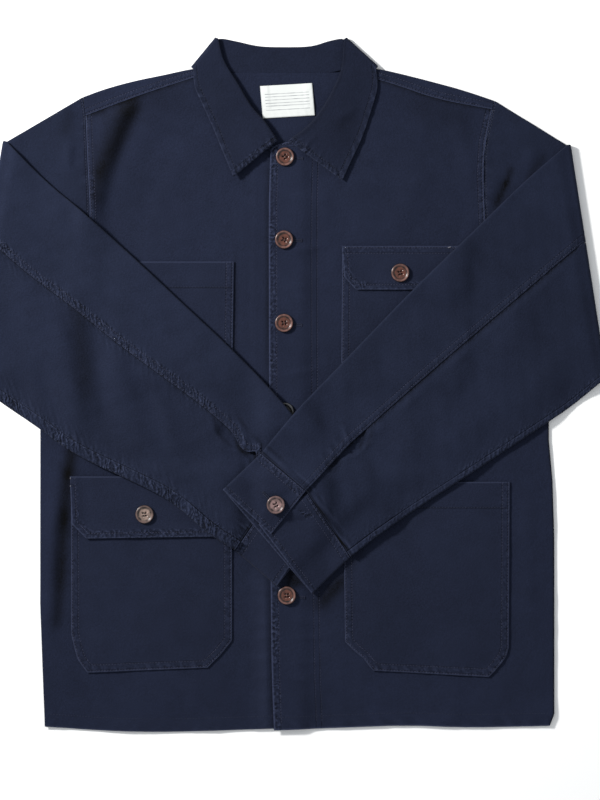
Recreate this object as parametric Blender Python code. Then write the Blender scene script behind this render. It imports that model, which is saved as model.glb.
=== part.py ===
"""Chore jacket lying flat on its back, buttoned up, both sleeves folded over its front.

Frame: +Z is up off the floor, +Y runs from hem to collar and the wearer's left is +X.
Lengths are in millimetres until a mesh is made.  Every cloth piece is a wall: a grid of
points on one side of the cloth, a grid on its other side, and a rim that joins the two.
The pieces are laid one after another on a table of heights, lowest piece first.
"""

import math
from collections import namedtuple

import bmesh
import bpy
import numpy as np

MM = 0.001

# Cloth, in millimetres.
CLOTH = 1.2
CUFF_CLOTH = 1.6
GAP = 0.4
SEAM = 0.3
STACK = 2 * CLOTH + GAP
SAG = 0.3
SETTLE_ROUNDS = 60

# Cells of the cloth grids.
SIDE_CELLS = 20
ARMHOLE_CELLS = 12
NECKLINE_CELLS = 6
SHOULDER_CELLS = 10
BACK_NECK_CELLS = 8
ROLL_STEPS = 4
ARM_CELLS = 6
FOREARM_CELLS = 18
ACROSS_CELLS = 11
UNDER_CELLS = 6
INSET_CELLS = 2
BEND_STEPS = 6

# Heights of the two folds: the sleeve at its fold line, the collar over the shoulder.
SLEEVE_AXIS = 4.2
COLLAR_AXIS = STACK + CLOTH / 2 + GAP
CUFF_HEIGHT = 4.4
FOREARM_HEIGHT = 4.4

# The vent above each cuff: its top half lies over its lower half, which is tucked under.
VENT_RAISE = CUFF_CLOTH + GAP
VENT_TUCK = 9.0
VENT_LENGTH = 80.0
VENT_OPENING = 25.0
TUCK_LENGTH = 50.0
TUCK_OPENING = 30.0
LAP_REACH = 0.2
LAP_START = 1.1
SWELL = 4.0
NOTCH_LENGTH = 70.0
SEAM_TURN = 0.8
FACING_SHARE = 0.62
FACING_STEP = 0.24

# Rings of a cuff: across its lapped half, its wall below and its tucked half.
CUFF_LAP_RINGS = 6
CUFF_UNDER_RINGS = 9
CUFF_LAP_SHARE = 0.46
CUFF_LIFT_PACE = 1.6
CUFF_LIFT_START = 0.2

# Table of heights.
TABLE_CELL = 2.0
TABLE_HALF_WIDTH = 400.0
TABLE_HALF_LENGTH = 430.0
CLOTH_REACH = 20.0
CUFF_REACH = 14.0

# Buttons.
BUTTON_RADIUS = 10.5
BUTTON_HEIGHT = 3.0
BUTTON_RIM_WIDTH = 2.6
BUTTON_DISH = 1.0
BUTTON_FOOT = 1.4
BUTTON_ROUND = 0.9
BUTTON_SIDES = 12
LABEL_CLOTH = 0.6

# Outlines, as (x, y) in the jacket's plane.  Every edge has only the points it needs.
HEM_RIGHT = [(16, -377), (-60, -380), (-132, -382), (-190, -381), (-264, -376)]
HEM_LEFT = [(-12, -380), (66, -377), (132, -374.5), (198, -377), (264, -376), (291, -375)]
SIDE_RIGHT = [(-264, -376), (-267, -300), (-269, -240), (-269, -50), (-266, 27)]
SIDE_LEFT = [(291, -375), (296, -362), (296, -170), (294, -105), (290, -61), (290, 24)]
ARMHOLE_RIGHT = [(-266, 27), (-245, 51), (-226, 93), (-216, 148), (-214, 194), (-217, 247),
                 (-219, 295)]
ARMHOLE_LEFT = [(290, 24), (258, 48), (235, 85), (224, 131), (220, 182), (218, 233),
                (220, 265), (228, 302)]
SHOULDER_POINT_RIGHT = (-222, 316)
SHOULDER_POINT_LEFT = (230, 312)
SHOULDER_SEAM_RIGHT = [(-219, 295), (-162, 317), (-103, 336), (-82, 342)]
SHOULDER_SEAM_LEFT = [(228, 302), (167, 313), (120, 330), (74, 342)]
SHOULDER_EDGE_RIGHT = [(-222, 316), (-198, 325), (-165, 334), (-132, 340.5), (-108, 346),
                       (-84, 349)]
SHOULDER_EDGE_LEFT = [(230, 312), (198, 323), (165, 332), (132, 340.5), (104, 347), (76, 349)]
NECKLINE_RIGHT = [(-82, 342), (-79, 327), (-70, 308), (-56, 290), (-36, 273), (-17, 262),
                  (16, 257)]
NECKLINE_LEFT = [(74, 342), (71, 327), (63, 310), (50, 293), (32, 278), (13, 268.5),
                 (2, 266.5), (-12, 262.5), (-16, 258)]
BACK_NECK_Y = 343.0
BACK_NECK_RIGHT_X = -74.0
BACK_NECK_LEFT_X = 66.0

# A soft ridge in the cloth: its two ends, its height and its half width.
Ridge = namedtuple("Ridge", "x0 y0 x1 y1 height half_width")
FRONT_RIGHT_RIDGES = [
    Ridge(-146, 302, -182, 208, 3.5, 16),
    Ridge(-188, 296, -206, 250, 2.5, 10),
    Ridge(-242, -96, -248, -270, 2.0, 9),
]
ARM_LEFT_RIDGES = [
    Ridge(262, 258, 249, 222, 1.6, 10),
    Ridge(290, 246, 272, 216, 1.4, 10),
]
ARM_RIGHT_RIDGES = [
    Ridge(-250, 290, -258, 244, 1.4, 12),
]
FOREARM_RIGHT_RIDGES = [
    Ridge(-252, 72, -212, -58, 2.2, 18),
    Ridge(-196, 48, -170, -66, 2.6, 18),
    Ridge(-300, 110, -262, 66, 1.8, 16),
]
FOREARM_LEFT_RIDGES = [
    Ridge(96, -18, 74, -128, 2.6, 20),
    Ridge(150, 10, 128, -96, 2.2, 20),
    Ridge(262, 96, 226, 30, 1.8, 20),
]

# One section of the collar: seam point of the stand, roll, outer edge of the fall; the
# height of the flattened tube; the level of the stand and of the fall's outer edge.
CollarStation = namedtuple(
    "CollarStation", "stand_x stand_y roll_x roll_y edge_x edge_y height base edge_level")
COLLAR_BACK = [
    CollarStation(-66, 345, -67, 379, -87, 337, STACK, 0, 0),
    CollarStation(-52, 343, -52, 375, -65, 328, STACK, 0, 0),
    CollarStation(-25, 343, -28, 372, -31, 323, STACK, 0, 0),
    CollarStation(0, 343, 0, 371, 0, 322, STACK, 0, 0),
    CollarStation(28, 343, 28, 372, 30, 323, STACK, 0, 0),
    CollarStation(48, 343, 48, 376, 58, 327, STACK, 0, 0),
    CollarStation(60, 345, 60, 380, 79, 335, STACK, 0, 0),
]
COLLAR_FOLD_RIGHT = CollarStation(-74, 347, -73.5, 377.5, -100.5, 346.5, STACK, 4.8, 6.4)
COLLAR_FOLD_LEFT = CollarStation(68, 347, 65, 379.5, 97.5, 347, STACK, 4.8, 6.4)
COLLAR_LEAF_RIGHT = [
    CollarStation(-79.5, 327, -67, 356, -99, 327, 3.4, 4.9, 6.4),
    CollarStation(-71, 306, -50, 331, -90, 306, 4.4, 4.9, 5.8),
    CollarStation(-56, 287, -34, 306, -80, 284, 5.0, 4.9, 5.4),
    CollarStation(-36, 270.5, -19, 288, -68, 258, 5.0, 5.2, 7.0),
    CollarStation(-19, 258.5, -8, 268, -55, 229, 5.0, 5.4, 9.5),
]
COLLAR_LEAF_LEFT = [
    CollarStation(73.5, 326, 62, 348, 98, 326, 3.4, 4.9, 6.4),
    CollarStation(65.5, 308, 53, 325, 92, 300, 4.4, 4.9, 5.8),
    CollarStation(52, 290, 40.5, 303, 84, 273, 5.0, 4.9, 5.4),
    CollarStation(34, 275, 25, 284, 73, 247, 5.0, 5.8, 6.4),
    CollarStation(12, 264, 3, 267, 62, 223, 5.0, 6.0, 7.2),
]
STAND_SHARES = (0.0, 0.5)
FALL_SHARES = (0.2, 0.4, 0.6, 0.8, 1.0)

# One row of a patch pocket or flap: its height on the jacket and its two side edges.
PatchRow = namedtuple("PatchRow", "y left right")
CHEST_POCKET_RIGHT = [PatchRow(135, -178, -56), PatchRow(24, -178, -57.5),
                      PatchRow(10, -166, -70)]
CHEST_POCKET_LEFT = [PatchRow(148, 63, 190), PatchRow(24, 62, 190), PatchRow(10, 74, 178)]
CHEST_FLAP_LEFT = [PatchRow(152, 62.5, 191), PatchRow(118, 65, 190), PatchRow(104, 78, 178)]
HIP_POCKET_RIGHT = [PatchRow(-104, -235, -58), PatchRow(-271, -235, -58),
                    PatchRow(-284, -232, -58), PatchRow(-299, -228, -70),
                    PatchRow(-314, -217, -85)]
HIP_FLAP_RIGHT = [PatchRow(-101, -236, -57), PatchRow(-152, -234, -57),
                  PatchRow(-168, -218, -72)]
HIP_POCKET_LEFT = [PatchRow(-107, 64, 247), PatchRow(-289, 66, 246), PatchRow(-301, 88, 238),
                   PatchRow(-318, 92, 223)]
NECK_LABEL = [PatchRow(330, -27, 32), PatchRow(293, -25, 33)]
PATCH_CELL = 16.0

# The two sleeves.  Edges run from the fold line to the cuff; the seam shares place the
# back seam across the sleeve, and inset is how far the underarm seam is from the lower edge.
SleeveCut = namedtuple(
    "SleeveCut", "name outward upper_edge lower_edge seam_start seam_turn seam_end inset "
                 "arm_ridges forearm_ridges")
SLEEVE_RIGHT = SleeveCut(
    "sleeve_right", -1,
    [(-310, 267), (-263, 223), (-222, 190), (-160, 134), (-109, 86), (-57, 38), (-3, -18),
     (41, -74)],
    [(-354, 9), (-314, -19), (-270, -48), (-230, -78), (-166, -107), (-124, -128),
     (-85, -163), (-55, -182)],
    0.42, 0.388, 0.46, 12.0, ARM_RIGHT_RIDGES, FOREARM_RIGHT_RIDGES)
SLEEVE_LEFT = SleeveCut(
    "sleeve_left", 1,
    [(314, 263), (266, 226), (221, 182), (143, 107), (88, 50), (38, -2), (9, -32), (-26, -75)],
    [(354, 5), (314, -25), (288, -42), (227, -83), (123, -150), (72, -189)],
    0.417, 0.41, 0.46, 6.5, ARM_LEFT_RIDGES, FOREARM_LEFT_RIDGES)

# A cuff's corners: the seam end and the free end of each of its crosswise lines.
CuffLine = namedtuple("CuffLine", "seam_x seam_y end_x end_y")
CuffCut = namedtuple("CuffCut", "name upper lap lower tuck")
CUFF_RIGHT = CuffCut("cuff_right", CuffLine(41, -74, 85, -105), CuffLine(-12, -119, 38, -153),
                     CuffLine(-55, -182, -9, -221), CuffLine(-14, -122, 45, -143))
CUFF_LEFT = CuffCut("cuff_left", CuffLine(-26, -75, -68, -115), CuffLine(23, -116, -15, -164),
                    CuffLine(72, -189, 30, -230), CuffLine(25, -119, -29, -153))

FRONT_BUTTONS = [(0, 250), (-1, 159), (-1, 67.5), (0, -30), (3, -128), (2, -231.5)]
CHEST_FLAP_BUTTON = (126.5, 122.5)
HIP_FLAP_BUTTON = (-154, -142.5)
CUFF_BUTTON_RIGHT = (25, -126)
CUFF_BUTTON_LEFT = (-10, -131.5)


def smooth(share):
    """Soft step from 0 to 1."""
    share = np.clip(share, 0.0, 1.0)
    return share * share * (3.0 - 2.0 * share)


def at_shares(points, shares):
    """Points at the given shares of a broken line's length."""
    points = np.asarray(points, dtype=float)
    steps = np.linalg.norm(np.diff(points, axis=0), axis=1)
    lengths = np.concatenate([[0.0], np.cumsum(steps)])
    wanted = np.asarray(shares) * lengths[-1]
    return np.stack([np.interp(wanted, lengths, points[:, 0]),
                     np.interp(wanted, lengths, points[:, 1])], axis=-1)


def divided(points, cells):
    """A broken line divided into cells of equal length."""
    return at_shares(points, np.linspace(0.0, 1.0, cells + 1))


def line_shares(points):
    """Share of the length of a broken line at each of its points."""
    steps = np.linalg.norm(np.diff(points, axis=0), axis=1)
    lengths = np.concatenate([[0.0], np.cumsum(steps)])
    return lengths / lengths[-1]


def patch(bottom, top, first_side, last_side):
    """Grid of points filling four edges: rows from bottom to top, columns between sides."""
    across = np.linspace(0.0, 1.0, len(bottom))[None, :, None]
    up = line_shares(last_side)[:, None, None]
    rows = (1 - up) * bottom[None] + up * top[None]
    columns = (1 - across) * first_side[:, None] + across * last_side[:, None]
    corners = ((1 - up) * ((1 - across) * bottom[0] + across * bottom[-1])
               + up * ((1 - across) * top[0] + across * top[-1]))
    return rows + columns - corners


def ridge_height(plan, ridges):
    """Height that the soft ridges add at each plan point."""
    total = np.zeros(plan.shape[:-1])
    for ridge in ridges:
        start = np.array([ridge.x0, ridge.y0], dtype=float)
        run = np.array([ridge.x1, ridge.y1], dtype=float) - start
        length = np.linalg.norm(run)
        offset = plan - start
        along = offset @ run / length ** 2
        across = (offset[..., 0] * run[1] - offset[..., 1] * run[0]) / length
        profile = np.exp(-(across / ridge.half_width) ** 2)
        ends = smooth((along + 0.3) / 0.4) * smooth((1.3 - along) / 0.4)
        total += ridge.height * profile * ends
    return total


class Table:
    """The floor and what lies on it so far, as heights on a square raster."""

    def __init__(self):
        rows = int(2 * TABLE_HALF_LENGTH / TABLE_CELL) + 1
        columns = int(2 * TABLE_HALF_WIDTH / TABLE_CELL) + 1
        self.heights = np.zeros((rows, columns))

    def cells(self, plan):
        """Raster row and column of each plan point."""
        column = np.rint((plan[..., 0] + TABLE_HALF_WIDTH) / TABLE_CELL).astype(int)
        row = np.rint((plan[..., 1] + TABLE_HALF_LENGTH) / TABLE_CELL).astype(int)
        return row, column

    def stamp(self, surface, parts=16):
        """Raise the heights to a laid surface, each of its cells divided into parts."""
        shares = np.linspace(0.0, 1.0, parts + 1)
        for down in shares:
            for across in shares:
                point = ((1 - down) * (1 - across) * surface[:-1, :-1]
                         + (1 - down) * across * surface[:-1, 1:]
                         + down * (1 - across) * surface[1:, :-1]
                         + down * across * surface[1:, 1:])
                row, column = self.cells(point)
                np.maximum.at(self.heights, (row, column), point[..., 2])

    def support(self, plan, reach=CLOTH_REACH):
        """Highest point within reach of each plan point."""
        window = int(math.ceil(reach / TABLE_CELL))
        highest = self.heights
        for axis in (0, 1):
            shifted = [np.roll(highest, shift, axis) for shift in range(-window, window + 1)]
            highest = np.max(shifted, axis=0)
        return highest[self.cells(plan)]


def settle(supports, held_rows=0):
    """Level of a sheet that spans its supports and sags onto them."""
    level = supports.copy()
    for _ in range(SETTLE_ROUNDS):
        edge = np.pad(level, 1, mode="edge")
        mean = (edge[:-2, 1:-1] + edge[2:, 1:-1] + edge[1:-1, :-2] + edge[1:-1, 2:]) / 4
        sunk = np.maximum(supports, mean - SAG)
        sunk[:held_rows] = supports[:held_rows]
        level = sunk
    return level


def surface(plan, level):
    """Plan points and their levels as points in space."""
    return np.concatenate([plan, np.broadcast_to(level, plan.shape[:-1])[..., None]], axis=-1)


def material(name, color, roughness):
    """Plain Principled material."""
    made = bpy.data.materials.new(name)
    made.use_nodes = True
    shader = made.node_tree.nodes["Principled BSDF"]
    shader.inputs["Base Color"].default_value = (*color, 1.0)
    shader.inputs["Roughness"].default_value = roughness
    shader.inputs["Metallic"].default_value = 0.0
    made.diffuse_color = (*color, 1.0)
    return made


def finish(name, bm, look):
    """Turn a bmesh in millimetres into an object in metres with its faces outwards."""
    bmesh.ops.recalc_face_normals(bm, faces=bm.faces[:])
    bmesh.ops.scale(bm, vec=(MM, MM, MM), verts=bm.verts[:])
    mesh = bpy.data.meshes.new(name)
    bm.to_mesh(mesh)
    bm.free()
    mesh.materials.append(look)
    made = bpy.data.objects.new(name, mesh)
    bpy.context.scene.collection.objects.link(made)
    return made


def cloth_wall(name, near, far, look, cut_away=None):
    """Closed wall between two grids of points; cut_away marks cells that are left out."""
    rows, columns = near.shape[:2]
    bm = bmesh.new()
    bmesh.ops.create_grid(bm, x_segments=columns - 1, y_segments=rows - 1, size=1.0)
    number = bm.verts.layers.int.new("number")
    bm.verts.ensure_lookup_table()
    for index, vert in enumerate(bm.verts):
        vert[number] = index
        vert.co = near[index // columns, index % columns]
    if cut_away is not None:
        gone = [face for face in bm.faces if cut_away[divmod(
            min(vert[number] for vert in face.verts), columns)]]
        bmesh.ops.delete(bm, geom=gone, context="FACES")
    grown = bmesh.ops.extrude_face_region(bm, geom=bm.faces[:])
    for vert in grown["geom"]:
        if isinstance(vert, bmesh.types.BMVert):
            vert.co = far[vert[number] // columns, vert[number] % columns]
    return finish(name, bm, look)


def make_button(name, center, table, look):
    """Turned button with a raised rim and a dished face, resting on the cloth."""
    radius = BUTTON_RADIUS
    inner = radius - BUTTON_RIM_WIDTH
    plan = np.array(center, dtype=float)
    seat = table.support(plan[None], radius)[0] + SEAM
    profile = [
        (0.0, 0.0), (radius - BUTTON_FOOT, 0.0), (radius, BUTTON_FOOT),
        (radius, BUTTON_HEIGHT - BUTTON_ROUND), (radius - BUTTON_ROUND, BUTTON_HEIGHT),
        (inner, BUTTON_HEIGHT - BUTTON_ROUND / 2),
        (inner - BUTTON_DISH, BUTTON_HEIGHT - BUTTON_DISH),
        (0.0, BUTTON_HEIGHT - BUTTON_DISH),
    ]
    bm = bmesh.new()
    verts = [bm.verts.new((x, 0.0, z)) for x, z in profile]
    edges = [bm.edges.new(pair) for pair in zip(verts, verts[1:])]
    bmesh.ops.spin(bm, geom=verts + edges, cent=(0, 0, 0), axis=(0, 0, 1),
                   angle=2 * math.pi, steps=BUTTON_SIDES, use_merge=True)
    bmesh.ops.remove_doubles(bm, verts=bm.verts[:], dist=0.01)
    bmesh.ops.translate(bm, vec=(plan[0], plan[1], seat), verts=bm.verts[:])
    button = finish(name, bm, look)
    button.data.shade_smooth()
    reach = np.linspace(-radius, radius, 5)
    top = np.array([[(plan[0] + x, plan[1] + y, seat + BUTTON_HEIGHT) for x in reach]
                    for y in reach])
    table.stamp(top)


def collar_section(station):
    """Plan points, heights and outward directions on both sides of the cloth's section."""
    stand = np.array([station.stand_x, station.stand_y], dtype=float)
    roll = np.array([station.roll_x, station.roll_y], dtype=float)
    edge = np.array([station.edge_x, station.edge_y], dtype=float)
    radius = station.height / 2
    stand_run = (roll - stand) / np.linalg.norm(roll - stand)
    fall_run = (roll - edge) / np.linalg.norm(roll - edge)
    heading = stand_run + fall_run
    center = roll - heading / np.linalg.norm(heading) * radius
    outer = []
    inner = []
    for share in STAND_SHARES:
        plan = stand + (center - stand) * share
        outer.append((plan, station.height, stand_run, None))
        inner.append((plan, station.height - CLOTH, stand_run, None))
    for step in range(ROLL_STEPS + 1):
        turn = math.pi * step / ROLL_STEPS
        run = stand_run * (1 - step / ROLL_STEPS) + fall_run * step / ROLL_STEPS
        run = run / np.linalg.norm(run)
        for line, size in ((outer, radius), (inner, radius - CLOTH)):
            plan = center + run * size * math.sin(turn)
            line.append((plan, radius + size * math.cos(turn), run, None))
    for share in FALL_SHARES:
        plan = center + (edge - center) * share
        outer.append((plan, 0.0, fall_run, share))
        inner.append((plan, CLOTH, fall_run, share))
    return outer, inner


def collar_points(station, turn, outward):
    """One section of the collar in space, turned about the fold by the given angle."""
    sides = []
    for line in collar_section(station):
        points = []
        for plan, height, run, share in line:
            side = np.array([-run[1], run[0]])
            side = side if side[0] * outward > 0 else -side
            if turn < 180:
                arm = COLLAR_AXIS - height
                swing = math.radians(turn)
                plan = plan + side * arm * math.sin(swing)
                level = COLLAR_AXIS - arm * math.cos(swing)
            elif share is None:
                level = station.base + station.height - height
            else:
                start = station.base + station.height - CLOTH
                level = start + (station.edge_level - start) * smooth(share) + CLOTH - height
            points.append((plan[0], plan[1], level))
        sides.append(points)
    return sides


def make_collar(table, look):
    """One-piece collar: flat behind the neck, folded over both shoulders to its leaves."""
    sections = []
    bends = [180.0 * step / BEND_STEPS for step in range(BEND_STEPS + 1)]
    for station in reversed(COLLAR_LEAF_RIGHT):
        sections.append(collar_points(station, 180, -1))
    for turn in reversed(bends):
        sections.append(collar_points(COLLAR_FOLD_RIGHT, turn, -1))
    first_flat = len(sections)
    for station in COLLAR_BACK:
        sections.append(collar_points(station, 0, 1))
    last_flat = len(sections)
    for turn in bends:
        sections.append(collar_points(COLLAR_FOLD_LEFT, turn, 1))
    for station in COLLAR_LEAF_LEFT:
        sections.append(collar_points(station, 180, 1))
    outer = np.array([section[0] for section in sections])
    inner = np.array([section[1] for section in sections])
    cloth_wall("collar", outer, inner, look)
    fall = len(STAND_SHARES) + ROLL_STEPS
    table.stamp(inner[first_flat - 1:last_flat + 1, fall:])


def make_back(table, look):
    """Back panel, wrapped over both shoulders to the seams on the front."""
    side_right = np.concatenate([divided(SIDE_RIGHT, SIDE_CELLS),
                                 divided(ARMHOLE_RIGHT, ARMHOLE_CELLS)[1:],
                                 [SHOULDER_POINT_RIGHT]])
    side_left = np.concatenate([divided(SIDE_LEFT, SIDE_CELLS),
                                divided(ARMHOLE_LEFT, ARMHOLE_CELLS)[1:],
                                [SHOULDER_POINT_LEFT]])
    edge_right = divided(SHOULDER_EDGE_RIGHT, SHOULDER_CELLS)
    edge_left = divided(SHOULDER_EDGE_LEFT, SHOULDER_CELLS)[::-1]
    neck_x = np.linspace(BACK_NECK_RIGHT_X, BACK_NECK_LEFT_X, BACK_NECK_CELLS + 1)
    neck = np.stack([neck_x, np.full(neck_x.shape, BACK_NECK_Y)], axis=-1)
    top = np.concatenate([edge_right, neck, edge_left])
    hem = np.concatenate([HEM_RIGHT[::-1], HEM_LEFT[1:]])
    bottom = divided(hem, len(top) - 1)
    side_right = side_right + [0.6, 0.0]
    side_left = side_left - [0.6, 0.0]
    plan = patch(bottom, top, side_right, side_left)
    beds = table.support(plan)
    level = settle(np.where(beds > 0, beds + GAP, 0.0))

    # The wrap over the shoulders: a half roll, then flat to the shoulder seam.
    seam_right = divided(SHOULDER_SEAM_RIGHT, SHOULDER_CELLS)
    seam_left = divided(SHOULDER_SEAM_LEFT, SHOULDER_CELLS)[::-1]
    seams = np.concatenate([seam_right, neck, seam_left])
    inward = seams - top
    inward[len(edge_right):-len(edge_left)] = (0.0, -1.0)
    reach = np.linalg.norm(inward, axis=1, keepdims=True)
    inward = inward / reach
    radius = STACK / 2
    center = top + inward * radius
    plan[-1] = center
    near = list(surface(plan, level))
    far = list(surface(plan, level + CLOTH))
    for step in range(1, ROLL_STEPS + 1):
        turn = math.pi * step / ROLL_STEPS
        for grid, size in ((near, radius), (far, radius - CLOTH)):
            ring = center - inward * size * math.sin(turn)
            grid.append(surface(ring, level[-1] + radius - size * math.cos(turn)))
    end = top + inward * (reach - SEAM)
    near.append(surface(end, level[-1] + STACK))
    far.append(surface(end, level[-1] + STACK - CLOTH))
    near = np.array(near)
    far = np.array(far)
    flat_rows = len(plan)
    cut_away = np.zeros(near.shape[:2], dtype=bool)
    cut_away[flat_rows - 1:, len(edge_right) - 1:-len(edge_left)] = True
    cloth_wall("back", near, far, look, cut_away)
    table.stamp(far[:flat_rows])
    return near[flat_rows - 1:, :len(edge_right)], near[flat_rows - 1:, -len(edge_left):]


def make_front(name, table, look, hem, side, armhole, shoulder, neckline, ridges):
    """Front panel from its centre edge to its side seam, from its hem to its shoulder."""
    outer_side = np.concatenate([divided(side, SIDE_CELLS),
                                 divided(armhole, ARMHOLE_CELLS)[1:]])
    top = np.concatenate([divided(neckline[::-1], NECKLINE_CELLS),
                          divided(shoulder[::-1], SHOULDER_CELLS)[1:]])
    bottom = divided(hem, len(top) - 1)
    center = at_shares([bottom[0], top[0]], line_shares(outer_side))
    plan = patch(bottom, top, center, outer_side)
    level = settle(table.support(plan) + GAP) + ridge_height(plan, ridges)
    far = surface(plan, level + CLOTH)
    cloth_wall(name, surface(plan, level), far, look)
    table.stamp(far)


def make_patch(name, table, look, rows, wall=CLOTH, covered=True):
    """Patch sewn on a panel: a pocket, a flap or a label that nothing covers."""
    heights = np.array([row.y for row in rows], dtype=float)
    widest = max(row.right - row.left for row in rows)
    columns = int(math.ceil(widest / PATCH_CELL)) + 1
    levels = [heights[0]]
    for above, below in zip(heights, heights[1:]):
        parts = int(math.ceil((above - below) / PATCH_CELL))
        levels.extend(np.linspace(above, below, parts + 1)[1:])
    levels = np.array(levels)
    left = np.interp(-levels, -heights, [row.left for row in rows])
    right = np.interp(-levels, -heights, [row.right for row in rows])
    across = np.linspace(0.0, 1.0, columns)[None, :]
    x = left[:, None] * (1 - across) + right[:, None] * across
    plan = np.stack([x, np.broadcast_to(levels[:, None], x.shape)], axis=-1)
    level = settle(table.support(plan) + GAP)
    far = surface(plan, level + wall)
    cloth_wall(name, surface(plan, level), far, look)
    if covered:
        table.stamp(far)


def tube_edge(width, height, from_upper):
    """Half roll at one edge of a flattened tube: (share, height) on both sides of the wall."""
    radius = height / 2
    points = []
    for step in range(ROLL_STEPS + 1):
        turn = math.pi * step / ROLL_STEPS
        pair = []
        for size in (radius, radius - CLOTH):
            share = (radius - size * math.sin(turn)) / width
            level = radius + size * math.cos(turn)
            if not from_upper:
                share = 1.0 - share
                level = height - level
            pair.append((share, level))
        points.append(pair)
    return points


def top_sleeve_ring(width, height, seam, inset):
    """Section of the top sleeve: from the underarm seam round both edges to the back seam."""
    radius_share = height / 2 / width
    ring = []
    start = 1.0 - inset / width
    for share in np.linspace(start, 1.0 - radius_share, INSET_CELLS + 1)[:-1]:
        ring.append([(share, 0.0), (share, CLOTH)])
    ring.extend(tube_edge(width, height, False))
    for share in np.linspace(1.0 - radius_share, radius_share, ACROSS_CELLS + 1)[1:-1]:
        ring.append([(share, height), (share, height - CLOTH)])
    ring.extend(tube_edge(width, height, True))
    for share in np.linspace(radius_share, seam, ACROSS_CELLS // 2)[1:]:
        ring.append([(share, 0.0), (share, CLOTH)])
    return ring


def under_sleeve_ring(width, seam, inset, tuck_share):
    """Section of the under sleeve: from the back seam to the underarm seam."""
    gap = SEAM / width
    start = seam + gap - tuck_share
    end = 1.0 - inset / width - gap
    return [[(share, 0.0), (share, CLOTH)]
            for share in np.linspace(start, end, UNDER_CELLS + 1)]


def upper_wall(share):
    """1 on the wall at height share 0 of a flattened tube, 0 on its other wall."""
    return smooth((FACING_SHARE - share) / FACING_STEP)


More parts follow.
